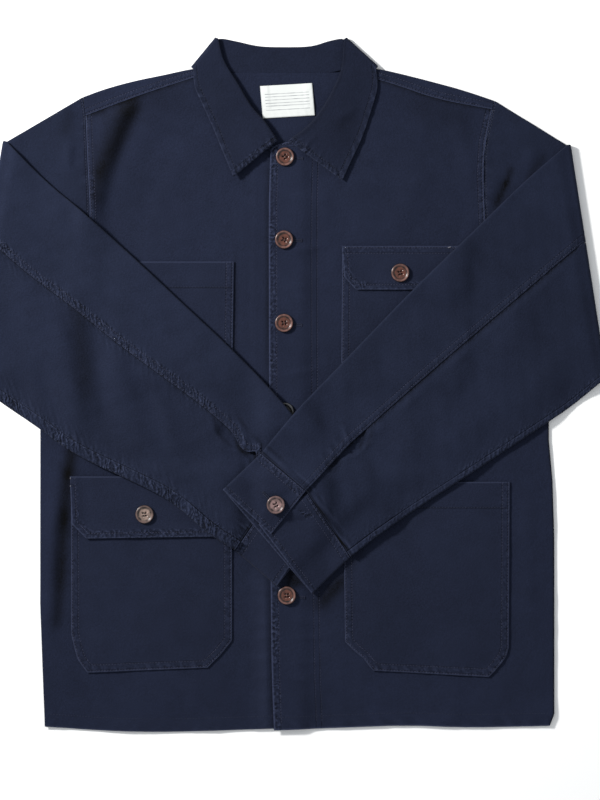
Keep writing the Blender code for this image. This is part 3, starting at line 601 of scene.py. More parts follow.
@dataclass(frozen=True)
class Twill:
    """Garment-washed twill: diagonal weave, worn edges and grooves along its stitching, with
    painted shade in the grooves, in troughs and along dark lines.
    """

    name: str
    color: Color
    rows: tuple[tuple[float, ...], ...] = ()
    bands: tuple[tuple[int, float, float], ...] = ()
    cords: tuple[float, float] = (0.13, 0.13)
    wear: float = 1.0
    rim: float = 1.0
    # Dark lines, each by axis, offset, half width and depth: painted shade beside edges and under
    # hems.
    lines: tuple[tuple[int, float, float, float], ...] = ()

    @staticmethod
    def phase(graph: Graph, uv: bpy.types.NodeOutputs, across: float, up: float) -> object:
        """Phase of stripes, from their numbers for each millimetre of cloth."""
        return graph.math("ADD", graph.times(uv[0], 2 * math.pi * across),
                          graph.times(uv[1], 2 * math.pi * up))

    def build(self) -> bpy.types.Material:
        """Make the material.

        Returns:
            The material.
        """
        graph = Graph(self.name)
        axes = graph.axes(graph.attribute("edges", "Vector"))
        fade = graph.attribute("fade")
        uv = graph.axes(graph.add("ShaderNodeUVMap", {}, uv_map="weave")[0])

        # Grooves along the stitching: bumped down, and further below also painted darker as shade.
        groove: object = 0.0
        for axis, *offsets in self.rows:
            groove = graph.math("MAXIMUM", groove, *[graph.stepped(graph.away(
                axes[axis], offset), 1.1, 0.2) for offset in offsets])
        band: object = 0.0
        for axis, width, strength in self.bands:
            band = graph.math("MAXIMUM", band, graph.stepped(
                axes[axis], width + 1.5, width - 1.5, 0.0, strength))
        band = graph.times(band, graph.noise(40.0, 1.0, 0.25, 1.0))
        cord = graph.math("SINE", graph.math("ADD", graph.noise(75.0, 1.0, -3.6, 3.6),
                                             self.phase(graph, uv, *self.cords)))
        crinkle = graph.times(graph.math("ADD", graph.noise(330.0, 2.0, -0.8, 0.8),
                                         graph.times(cord, 0.6)), band)
        weave = graph.math("SINE", self.phase(graph, uv, *WEAVE_PITCH))

        # Wear: lighter at the edges, on the crinkles' crests and where the wear-and-shade
        # attribute is above 0.
        border = graph.stepped(graph.math("MINIMUM", axes[0], axes[1], axes[2]), 2.0, 0.5)
        worn = graph.math("ADD", graph.times(border, 0.6 * self.wear * self.rim),
                          graph.times(graph.math("MAXIMUM", crinkle, 0.0), 0.4 * self.wear),
                          graph.times(graph.math("MAXIMUM", fade, 0.0), 0.4 * self.wear))
        # Random tone and the weave, with painted shade where the wear-and-shade attribute is below
        # 0.
        bright = graph.math("ADD", graph.noise(7.0, 2.0, -0.07, 0.07),
                            graph.noise(55.0, 3.0, -0.05, 0.05),
                            graph.noise(900.0, 2.0, -0.16, 0.16), graph.times(weave, 0.12),
                            graph.times(graph.math("MINIMUM", fade, 0.0), 0.25))
        # Painted shade: the dark lines.
        for axis, offset, half, depth in self.lines:
            bright = graph.math("SUBTRACT", bright, graph.stepped(
                graph.away(axes[axis], offset), half, half * 0.3, 0.0, depth))
        # Painted shade in the stitching grooves; the crinkles are lighter on their crests and
        # painted darker in their troughs.
        bright = graph.math("SUBTRACT", bright, graph.times(groove, 0.22))
        bright = graph.math("ADD", bright, graph.times(crinkle, 0.3), 1.0)
        faded = tuple(channel * 2.2 + 0.008 for channel in self.color)
        color = graph.mixed(graph.math("MINIMUM", worn, 0.8), graph.lit(self.color, bright),
                            (*faded, 1.0))

        rise = graph.math("ADD", graph.times(weave, 0.00004),
                          graph.noise(420.0, 2.0, 0.0, 0.00012))
        rise = graph.math("SUBTRACT", rise, graph.times(groove, 0.00035))
        rise = graph.math("ADD", rise, graph.times(crinkle, 0.00045))
        bump = graph.add("ShaderNodeBump", {"Distance": 1.0, "Height": rise})
        graph.join(bump[0], graph.shader.inputs["Normal"])
        graph.shader.inputs["Sheen Weight"].default_value = 0.03
        graph.shader.inputs["Sheen Roughness"].default_value = 0.5
        return graph.done(color, self.color, 0.88, 0.08)


@dataclass(frozen=True)
class Plain:
    """Plain finish with a little unevenness in its colour."""

    name: str
    color: Color
    roughness: float
    specular: float = 0.5
    mottle: float = 0.0
    scale: float = 200.0

    def build(self) -> bpy.types.Material:
        """Make the material.

        Returns:
            The material.
        """
        graph = Graph(self.name)
        dark = tuple(channel * (1 - self.mottle) for channel in self.color)
        light = tuple(min(1.0, channel * (1 + self.mottle)) for channel in self.color)
        color = graph.mixed(graph.noise(self.scale, 3.0), (*dark, 1.0), (*light, 1.0))
        return graph.done(color, self.color, self.roughness, self.specular)


@dataclass(frozen=True)
class Label:
    """White satin tape with thin ruled lines, and no lettering.

    Attributes:
        name: Name of the material.
        color: Colour of the tape.
        ruled: Colour of the lines.
        lines: Distances of the lines from the top edge, in millimetres.
    """

    name: str
    color: Color
    ruled: Color
    lines: tuple[float, ...]

    def build(self) -> bpy.types.Material:
        """Make the material.

        Returns:
            The material.
        """
        graph = Graph(self.name)
        axes = graph.axes(graph.attribute("edges", "Vector"))
        drawn: object = 0.0
        for place in self.lines:
            drawn = graph.math("MAXIMUM", drawn,
                               graph.stepped(graph.away(axes[1], place), 0.5, 0.2))
        share = graph.math("MULTIPLY", drawn, graph.stepped(axes[0], 4.0, 5.0),
                           graph.noise(160.0, 1.0, 0.5, 0.95))
        # The tape is painted darker within 1.4 mm of its edges.
        hem = graph.times(graph.stepped(axes[0], 1.4, 0.2), 0.5)
        color = graph.mixed(graph.math("MAXIMUM", share, hem), (*self.color, 1.0),
                            (*self.ruled, 1.0))
        return graph.done(color, self.color, 0.6, 0.2)


@dataclass(frozen=True)
class Resin:
    """Mottled polished resin of a button: its dish and its rim, with painted shade in the groove
    between them and round its outer edge.
    """

    name: str
    color: Color
    rim_color: Color

    def build(self) -> bpy.types.Material:
        """Make the material.

        Returns:
            The material.
        """
        graph = Graph(self.name)
        ring = graph.attribute("ring")
        color = graph.mixed(graph.stepped(ring, 0.70, 0.76), (*self.color, 1.0),
                            (*self.rim_color, 1.0))
        # Painted shade: darker in the groove between rim and dish, and round the outer edge where
        # the button meets the cloth.
        groove = graph.times(graph.stepped(ring, 0.52, 0.68), graph.stepped(ring, 0.78, 0.70))
        edge = graph.times(graph.stepped(ring, 0.90, 0.98), 0.85)
        bright = graph.math("SUBTRACT", graph.noise(240.0, 3.0, 0.62, 1.32),
                            graph.times(groove, 0.72))
        bright = graph.times(bright, graph.math("SUBTRACT", 1.0, edge))
        return graph.done(graph.lit(color, bright), self.color, 0.3, 0.5)


BODY_COLOR = (0.0093, 0.0126, 0.0280)
SLEEVE_COLOR = (0.0089, 0.0122, 0.0268)
TRIM_COLOR = (0.0090, 0.0121, 0.0266)
COLLAR_COLOR = (0.0078, 0.0106, 0.0236)
WEAVE_PITCH = (0.95, 0.62)

# Its dark line is painted shade in a groove 3.3 mm inside the placket's edge.
FRONT_TWILL = Twill("twill_front", BODY_COLOR,
                    ((0, *PLACKET_ROWS), (2, *ARMHOLE_ROWS)),
                    ((0, 9.0, 1.0), (2, 7.0, 0.5)), (0.04, 0.16), 1.4, 1.5,
                    ((0, 3.3, 1.0, 0.3),))
UNDER_FRONT_TWILL = Twill("twill_under_front", BODY_COLOR, ((2, *ARMHOLE_ROWS),),
                          ((2, 7.0, 0.4),), (0.04, 0.16))
BACK_TWILL = Twill("twill_back", BODY_COLOR, ((0, *WRAP_ROWS), (1, *HEM_ROW)),
                   ((0, 8.0, 0.4),))
SLEEVE_TWILL = Twill("twill_sleeve", SLEEVE_COLOR, ((0, *SEAM_ROWS), (2, *CLOSE_ROW)),
                     ((0, 11.0, 1.5), (1, 13.0, 1.7)), (-0.12, 0.16), 1.0, 0.35)
LEFT_SLEEVE_TWILL = Twill("twill_left_sleeve", SLEEVE_COLOR, ((0, *SEAM_ROWS), (2, *CLOSE_ROW)),
                          ((0, 7.0, 0.4), (1, 9.0, 0.8)), (-0.12, 0.16), 0.8, 0.35)
UNDER_TWILL = Twill("twill_under", SLEEVE_COLOR, ((2, *CLOSE_ROW),),
                    ((0, 3.0, 0.5), (1, 4.0, 0.6)), (-0.12, 0.16), 1.0, 0.1)
# Its dark line, 28.6 mm below the top, is painted shade under a pocket's hem.
POCKET_TWILL = Twill("twill_pocket", TRIM_COLOR, ((0, *POCKET_ROWS),),
                     ((0, 9.0, 0.45),), lines=((1, 28.6, 1.3, 0.34),))
FLAP_TWILL = Twill("twill_flap", TRIM_COLOR, ((0, *EDGE_ROW), (1, *SEAM_ROWS)),
                   ((0, 9.0, 0.9), (1, 8.0, 0.5)))
HIP_FLAP_TWILL = Twill("twill_hip_flap", TRIM_COLOR, ((0, *EDGE_ROW),), ((0, 9.0, 1.1),))
COLLAR_TWILL = Twill("twill_collar", COLLAR_COLOR, ((0, *COLLAR_ROW), (1, *COLLAR_ROW)),
                     ((0, 7.0, 0.4), (1, 8.0, 1.2)), (0.03, 0.17), 1.0, 0.45)
CUFF_TWILL = Twill("twill_cuff", TRIM_COLOR,
                   ((0, *CLOSE_ROW), (1, *SEAM_ROWS), (2, *EDGE_ROW)),
                   ((0, 3.0, 0.6), (1, 9.0, 1.2), (2, 7.0, 0.6)), (0.17, 0.06))
LABEL_WHITE = Label("label_white", (0.60, 0.62, 0.61), (0.17, 0.18, 0.20),
                    (9.5, 12.5, 16.0, 19.5, 22.5, 27.0, 31.5))
NAVY_THREAD = Plain("navy_thread", (0.030, 0.034, 0.066), 0.6, 0.25, 0.25)
PALE_THREAD = Plain("pale_thread", (0.15, 0.15, 0.18), 0.7, 0.2, 0.3)
DARK_THREAD = Plain("dark_thread", (0.0155, 0.019, 0.038), 0.6, 0.2, 0.25)
BUTTON_THREAD = Plain("button_thread", (0.016, 0.010, 0.011), 0.7, 0.2, 0.2)
BROWN_BUTTON = Resin("brown_resin", (0.074, 0.023, 0.014), (0.108, 0.050, 0.041))
PINK_BUTTON = Resin("pink_resin", (0.175, 0.108, 0.104), (0.112, 0.066, 0.064))
# Painted shade: a dark grey copy of the button resin, for the front button that lies half hidden
# in the sleeves' shade.
BUTTON_IN_SHADE = Resin("resin_in_shade", (0.023, 0.024, 0.029), (0.035, 0.037, 0.041))
PALE_BUTTON = Resin("pale_resin", (0.185, 0.130, 0.108), (0.082, 0.052, 0.046))
FLOOR_WHITE = Plain("floor_white", (0.93, 0.93, 0.93), 0.9, 0.0)


@dataclass
class Skin:
    """What a cloth piece's finish reads at each point of its grid.

    Attributes:
        weave: Place in the cut cloth, in millimetres.
        edges: Distances to up to three sewn edges, in millimetres.
        fade: Lighter worn cloth above 0, on pucker crests; painted shade below 0, in pucker
            troughs, folds, hollows and beside edges where shade falls.
    """

    weave: Array
    edges: Array
    fade: Array


def make_skin(weave: Array, fade: Array, *edges: Array) -> Skin:
    """Skin of a cloth piece.

    Args:
        weave: Places in the cut cloth.
        fade: Worn lightening above 0 and painted shade below 0 at each point.
        *edges: Distances to up to three sewn edges; a missing one is far off.

    Returns:
        The skin.
    """
    found = list(edges) + [np.full(fade.shape, FAR_OFF)] * (3 - len(edges))
    return Skin(weave, np.stack([np.broadcast_to(edge, fade.shape) for edge in found], axis=-1),
                fade)


def placed(name: str, bm: bmesh.types.BMesh, size: float = MM) -> bpy.types.Object:
    """Object in the scene, made from a bmesh.

    Args:
        name: Its name.
        bm: The bmesh, which is freed.
        size: Metres for each of the bmesh's units.

    Returns:
        The object, at the origin.
    """
    bmesh.ops.scale(bm, vec=(size, size, size), verts=bm.verts[:])
    mesh = bpy.data.meshes.new(name)
    bm.to_mesh(mesh)
    bm.free()
    made = bpy.data.objects.new(name, mesh)
    bpy.context.scene.collection.objects.link(made)
    return made


def settle(thing: bpy.types.Object) -> None:
    """Work an object's modifiers into its mesh.

    Args:
        thing: The object.
    """
    graph = bpy.context.evaluated_depsgraph_get()
    mesh = bpy.data.meshes.new_from_object(thing.evaluated_get(graph))
    thing.modifiers.clear()
    thing.data = mesh


def finish(name: str, bm: bmesh.types.BMesh, look: bpy.types.Material) -> bpy.types.Object:
    """Smooth piece that rides on the jacket.

    Args:
        name: Its name.
        bm: Its bmesh, in millimetres.
        look: Its finish.

    Returns:
        The piece.
    """
    made = placed(name, bm)
    made.data.materials.append(look)
    made.data.shade_smooth()
    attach(made, "root")
    return made


def drawn_together(near: Array, far: Array, distance: Array) -> tuple[Array, Array]:
    """Both sides of a wall, drawn together to a round edge where its edge is close.

    Args:
        near: Points of one side.
        far: Points of the other side.
        distance: Distance of each point from the edge.

    Returns:
        Points of both sides.
    """
    inward = 1.0 - np.clip(distance / EDGE_ROUND, 0.0, 1.0)
    share = (0.25 + 0.75 * np.sqrt(1.0 - inward ** 2))[..., None]
    middle = (near + far) / 2
    return middle + (near - middle) * share, middle + (far - middle) * share


def make_wall(name: str, near: Array, far: Array, skin: Skin, look: bpy.types.Material,
              cut_away: Array | None = None) -> bpy.types.Object:
    """Closed wall between two grids of points.

    Args:
        name: Name of the piece.
        near: Points of one side, of shape (rows, columns, 3).
        far: Points of the other side.
        skin: What the finish reads at each point.
        look: Its finish.
        cut_away: Marks the cells that are left out, by their lowest row and column.

    Returns:
        The piece.
    """
    rows, columns = near.shape[:2]
    count = rows * columns
    bm = bmesh.new()
    bmesh.ops.create_grid(bm, x_segments=columns - 1, y_segments=rows - 1, size=1.0)
    number = bm.verts.layers.int.new("number")
    points = near.reshape(-1, 3)
    for index, vert in enumerate(bm.verts):
        vert[number] = index
        vert.co = points[index]
    if cut_away is not None:
        gone = [face for face in bm.faces if cut_away[divmod(
            min(vert[number] for vert in face.verts), columns)]]
        bmesh.ops.delete(bm, geom=gone, context="FACES")
    grown = bmesh.ops.extrude_face_region(bm, geom=bm.faces[:])
    points = far.reshape(-1, 3)
    for vert in grown["geom"]:
        if isinstance(vert, bmesh.types.BMVert):
            vert.co = points[vert[number]]
            vert[number] += count
    bmesh.ops.recalc_face_normals(bm, faces=bm.faces[:])
    piece = finish(name + "_cloth", bm, look)

    mesh = piece.data
    numbers = np.zeros(len(mesh.vertices), dtype=np.int32)
    mesh.attributes["number"].data.foreach_get("value", numbers)
    mesh.attributes.remove(mesh.attributes["number"])
    base = numbers % count
    edges = mesh.attributes.new("edges", "FLOAT_VECTOR", "POINT")
    edges.data.foreach_set("vector", skin.edges.reshape(-1, 3)[base].ravel().astype(np.float32))
    fade = mesh.attributes.new("fade", "FLOAT", "POINT")
    fade.data.foreach_set("value", skin.fade.ravel()[base].astype(np.float32))
    corners = np.zeros(len(mesh.loops), dtype=np.int32)
    mesh.loops.foreach_get("vertex_index", corners)
    uv = mesh.uv_layers.new(name="weave")
    uv.data.foreach_set("uv", skin.weave.reshape(-1, 2)[base[corners]].ravel().astype(
        np.float32))
    return piece


def traced(surface: Array, distance: Array, offset: float, from_end: bool,
           down: bool = False) -> Array:
    """Line on a surface that keeps its distance from an edge.

    Args:
        surface: Points of shape (rows, columns, 3).
        distance: Distance of each point from the edge.
        offset: Distance that the line keeps.
        from_end: Whether the edge is at the end of each row, not at its start.
        down: Whether the edge crosses the columns, not the rows.

    Returns:
        Points of the line.
    """
    if down:
        surface = surface.transpose(1, 0, 2)
        distance = distance.T
    if from_end:
        surface = surface[:, ::-1]
        distance = distance[:, ::-1]
    found = []
    for points, away in zip(surface, distance):
        crossed = np.nonzero((away[:-1] < offset) & (away[1:] >= offset))[0]
        if not len(crossed):
            continue
        index = int(crossed[0])
        share = (offset - away[index]) / (away[index + 1] - away[index])
        found.append(points[index] * (1 - share) + points[index + 1] * share)
    return np.array(found)


class Thread(Enum):
    """Threads that the jacket is sewn with, each with the name of its stitches' mesh."""

    SEAMS = "stitching"
    DARK = "dark_stitching"
    BUTTONS = "button_thread"
    TACKS = "bar_tacks"


class Sewing:
    """Stitches, gathered while the jacket is built and made as one mesh for each thread."""

    PITCH = 3.2
    LENGTH = 2.5
    WIDTH = 0.62
    HEIGHT = 0.42

    def __init__(self) -> None:
        """Start with no stitches."""
        self.frames: dict[Thread, list[Array]] = {}

    def stitch(self, thread: Thread, middle: Array, along: Array, width: float | None = None
               ) -> None:
        """Add one stitch.

        Args:
            thread: Its thread.
            middle: Its middle, on the cloth.
            along: Half of its length, as a vector.
            width: Its width, where it isn't the usual one.
        """
        run = unit(along)
        side = unit(np.cross([0.0, 0.0, 1.0], run))
        up = np.cross(run, side)
        half = (self.WIDTH if width is None else width) / 2
        self.frames.setdefault(thread, []).append(
            np.array([along, side * half, up * self.HEIGHT / 2, middle + up * 0.12]))

    def row(self, thread: Thread, line: Array, start: float = 0.0, end: float = 0.0) -> None:
        """Add a row of stitches along a line on the cloth.

        Args:
            thread: Their thread.
            line: Points of the line.
            start: Length without stitches at its start.
            end: Length without stitches at its end.
        """
        if len(line) < 2:
            return
        length = length_of(line)
        count = int((length - start - end) / self.PITCH)
        if count < 2:
            return
        middles = start + (np.arange(count) + 0.5) * self.PITCH
        half = self.LENGTH / 2
        first = at_shares(line, (middles - half) / length)
        last = at_shares(line, (middles + half) / length)
        for low, high in zip(first, last):
            if np.linalg.norm(high - low) > 0.5:
                self.stitch(thread, (low + high) / 2, (high - low) / 2)

    def seam(self, thread: Thread, surface: Array, distance: Array, offsets: Sequence[float],
             ends: tuple[float, float], from_end: bool = False, down: bool = False) -> None:
        """Add rows of stitches that keep their distance from an edge.

        Args:
            thread: Their thread.
            surface: Points of the cloth, of shape (rows, columns, 3).
            distance: Distance of each point from the edge.
            offsets: Distance that each row keeps.
            ends: Lengths without stitches at the start and the end of each row.
            from_end: Whether the edge is at the end of each row of points.
            down: Whether the edge crosses the columns.
        """
        for offset in offsets:
            self.row(thread, traced(surface, distance, offset, from_end, down), *ends)

    def bar(self, thread: Thread, middle: Array, run: Array, length: float, width: float) -> None:
        """Add a bar of close stitches that lie across its run.

        Args:
            thread: Their thread.
            middle: Middle of the bar.
            run: Its direction.
            length: Its length.
            width: Its width.
        """
        run = unit(run)
        side = np.cross([0.0, 0.0, 1.0], run)
        for place in np.arange(-length / 2, length / 2 + 0.01, self.WIDTH):
            self.stitch(thread, middle + run * place, side * width / 2, 0.6)

    def make(self, thread: Thread, look: bpy.types.Material) -> None:
        """Make the mesh of one thread's stitches, from copies of one ball.

        Args:
            thread: The thread.
            look: Its finish.
        """
        frames = np.array(self.frames[thread])
        bm = bmesh.new()
        bmesh.ops.create_icosphere(bm, subdivisions=1, radius=1.0)
        piece = placed(thread.value, bm, 1.0)
        ball = np.zeros(len(piece.data.vertices) * 3)
        piece.data.vertices.foreach_get("co", ball)
        array = piece.modifiers.new("copies", "ARRAY")
        array.count = len(frames)
        array.relative_offset_displace = (0.0, 0.0, 0.0)
        settle(piece)
        spots = np.einsum("vk,nkc->nvc", ball.reshape(-1, 3), frames[:, :3]
                          ) + frames[:, 3][:, None]
        piece.data.vertices.foreach_set("co", (spots * MM).ravel().astype(np.float32))
        piece.data.materials.append(look)
        piece.data.shade_smooth()
        piece.data.update()
        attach(piece, "root")
        LOG.info("%s: %d stitches", piece.name, len(frames))


def facing_up(share: Array) -> Array:
    """How far a point of a flattened tube is on its upper side, by its share of the height."""
    return smooth((0.62 - share) / 0.24)


def wall_at(plan: Array, level: Array, wall: float = CLOTH) -> tuple[Array, Array]:
    """Both sides of a cloth wall whose lower side is at a level."""
    return raised(plan, level), raised(plan, level + wall)


@dataclass
class Workshop:
    """What every piece is built with: the bed, the stitches and the finishes."""

    bed: Bed = field(default_factory=Bed)
    sewing: Sewing = field(default_factory=Sewing)
    looks: dict[str, bpy.types.Material] = field(default_factory=dict)

    def look(self, recipe: Twill | Plain | Resin | Label) -> bpy.types.Material:
        """Material of a finish, made once.

        Args:
            recipe: The finish.

        Returns:
            Its material.
        """
        if recipe.name not in self.looks:
            self.looks[recipe.name] = recipe.build()
        return self.looks[recipe.name]

    def cloth(self, name: str, sides: Sequence[Array], edge: Array, skin: Skin, recipe: Twill,
              slot: str, cut_away: Array | None = None) -> tuple[Array, Array]:
        """Make a cloth piece.

        Args:
            name: Name of the part that it stands for.
            sides: Points of both sides of its wall.
            edge: Distance of each point from the wall's edges.
            skin: What its finish reads.
            recipe: Its finish.
            slot: Its slot; not used.
            cut_away: Marks the cells that are left out.

        Returns:
            Points of both sides, drawn together at the edges.
        """
        near, far = drawn_together(*sides, edge)
        declare(make_wall(name, near, far, skin, self.look(recipe), cut_away))
        return near, far


@dataclass(frozen=True)
class Cut:
    """How a cloth piece was cut and how it lies."""

    width: float
    length: float
    area: float
    held: str = "laid"
    rests_on: tuple[str, ...] = ()


def declare(piece: bpy.types.Object) -> None:
    """Hide the part that a cloth piece stands for, and log its faces and area.

    Args:
        piece: The piece.
    """
    node = piece.name.removesuffix("_cloth")
    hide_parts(node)
    area = sum(face.area for face in piece.data.polygons) / 2
    LOG.info("%s: %d faces, %.4f square metres", piece.name, len(piece.data.polygons), area)


class Side(Enum):
    """Side of the wearer."""

    RIGHT = -1
    LEFT = 1


@dataclass
class BackPanel:
    """Back, flat on the floor and wrapped over both shoulders to the seams in front."""

    shop: Workshop
    length: float = 700.0
    shoulder_right: float = 140.0
    shoulder_left: float = 156.0
    shoulder_cells: int = 44
    jump_cells: int = 3
    neck_cells: int = 42
    side_cells: int = 104
    roll_steps: int = 8
    lap_cells: int = 9

    def shoulders(self, right: Line, left: Line) -> tuple[Array, Array]:
        """Points along both shoulders, from the right arm to the left one.

        Args:
            right: Line of the right shoulder, from its arm to the neck.
            left: Line of the left shoulder, from its arm to the neck.

        Returns:
            Points of both.
        """
        found = [at_shares(eased(line), sewn_shares(length, self.shoulder_cells, True, False))
                 for line, length in ((right, self.shoulder_right), (left, self.shoulder_left))]
        return found[0], found[1][::-1]

    def build(self) -> None:
        """Make the panel and lay it on the bed."""
        edge_right, edge_left = self.shoulders(SHOULDER_EDGE_RIGHT, SHOULDER_EDGE_LEFT)
        seam_right, seam_left = self.shoulders(SHOULDER_SEAM_RIGHT, SHOULDER_SEAM_LEFT)
        neck_x = np.linspace(BACK_NECK_RIGHT_X, BACK_NECK_LEFT_X, self.neck_cells + 1)
        neck = np.stack([neck_x, np.full(neck_x.shape, BACK_NECK_Y)], axis=-1)
        inner = np.linspace(0.0, 1.0, self.jump_cells + 1)[1:-1, None]
        between = (edge_right[-1] + (neck[0] - edge_right[-1]) * inner, neck,
                   neck[-1] + (edge_left[0] - neck[-1]) * inner)
        top = np.concatenate([edge_right, *between, edge_left])
        seams = np.concatenate([seam_right, *between, seam_left])
        right = len(edge_right)
        left = len(edge_left)
        across = walked(top)
        across = across / across[-1]
        bottom = at_shares(np.concatenate([HEM_RIGHT[::-1], HEM_LEFT[1:]]), across)
        up = sewn_shares(self.length, self.side_cells)
        sides = [at_shares(np.concatenate([side[:-1], eased(armhole), [point]]) + [shift, 0.0],
                           up) for side, armhole, point, shift in (
            (SIDE_RIGHT, ARMHOLE_RIGHT, SHOULDER_POINT_RIGHT, 0.2),
            (SIDE_LEFT, ARMHOLE_LEFT, SHOULDER_POINT_LEFT, -0.2))]
        plan = coons(bottom, top, *sides, across, up)
        beds = self.shop.bed.under(plan, 10.0)
        level = beds + GAP * smooth(beds / 0.6)

        inward = seams - top
        inward[right:-left] = (0.0, -1.0)
        reach = np.linalg.norm(inward, axis=1, keepdims=True)
        inward = inward / reach
        radius = STACK / 2
        shift = np.full((len(top), 1), radius)
        shift[right:-left] = 0.1
        center = top + inward * shift
        plan[-1] = center
        near, far = (list(side) for side in wall_at(plan, level))
        lap = [np.full(len(top), FAR_OFF)] * len(plan)
        shut = level[-1]
        for step in range(1, self.roll_steps + 1):
            turn = math.pi * step / self.roll_steps
            for grid, size in ((near, radius), (far, radius - CLOTH)):
                ring = center - inward * size * math.sin(turn)
                grid.append(raised(ring, shut + radius - size * math.cos(turn)))
            lap.append(reach[:, 0])
        pucker = Pucker(layers=0.6, width=7.5, height=0.22, reach=7.0, wavelength=9.0, seed=31)
        place = across * length_of(top)
        for share in sewn_shares(30.0, self.lap_cells, False)[1:]:
            end = top + inward * (radius + (reach - SEAM - radius) * share)
            away = (reach[:, 0] - radius) * (1 - share)
            rise, _ = pucker.at(away, place)
            rise = rise * smooth((reach[:, 0] - radius - away) / 5.0)
            near.append(raised(end, shut + STACK + rise))
            far.append(raised(end, shut + STACK - CLOTH + rise))
            lap.append(away)

        near, far, lap = np.array(near), np.array(far), np.array(lap)
        flat_rows = len(plan)
        cut_away = np.zeros(near.shape[:2], dtype=bool)
        cut_away[flat_rows - 1:, right - 1:-left] = True
        from_hem = spread((np.append(up, np.ones(len(near) - flat_rows)) * self.length)[:, None],
                          lap)
        weave = np.stack([spread(place, lap), np.cumsum(np.linalg.norm(np.diff(
            near, axis=0, prepend=near[:1]), axis=-1), axis=0)], axis=-1)
        side = np.minimum(place, place[-1] - place)[None]
        edge = lap.copy()
        edge[:, right:-left] = FAR_OFF
        skin = make_skin(weave, np.zeros(lap.shape), lap, from_hem, np.maximum(side, 3.0))
        near, far = self.shop.cloth("back", (near, far), np.minimum.reduce(
            [edge, from_hem, spread(side, lap)]), skin, BACK_TWILL, "navy_twill", cut_away)
        self.shop.bed.lay(far[:flat_rows])
        self.wraps = (near[flat_rows - 1:, :right], near[flat_rows - 1:, -left:])
        laps = (lap[flat_rows - 1:, :right], lap[flat_rows - 1:, -left:])
        for wrap, away in zip(self.wraps, laps):
            self.shop.sewing.seam(Thread.SEAMS, wrap, away, WRAP_ROWS, (2, 8), True, True)

    def lay_wraps(self) -> None:
        """Lay the wraps over the shoulders on the bed, once the fronts are below them."""
        for wrap in self.wraps:
            self.shop.bed.lay(wrap)


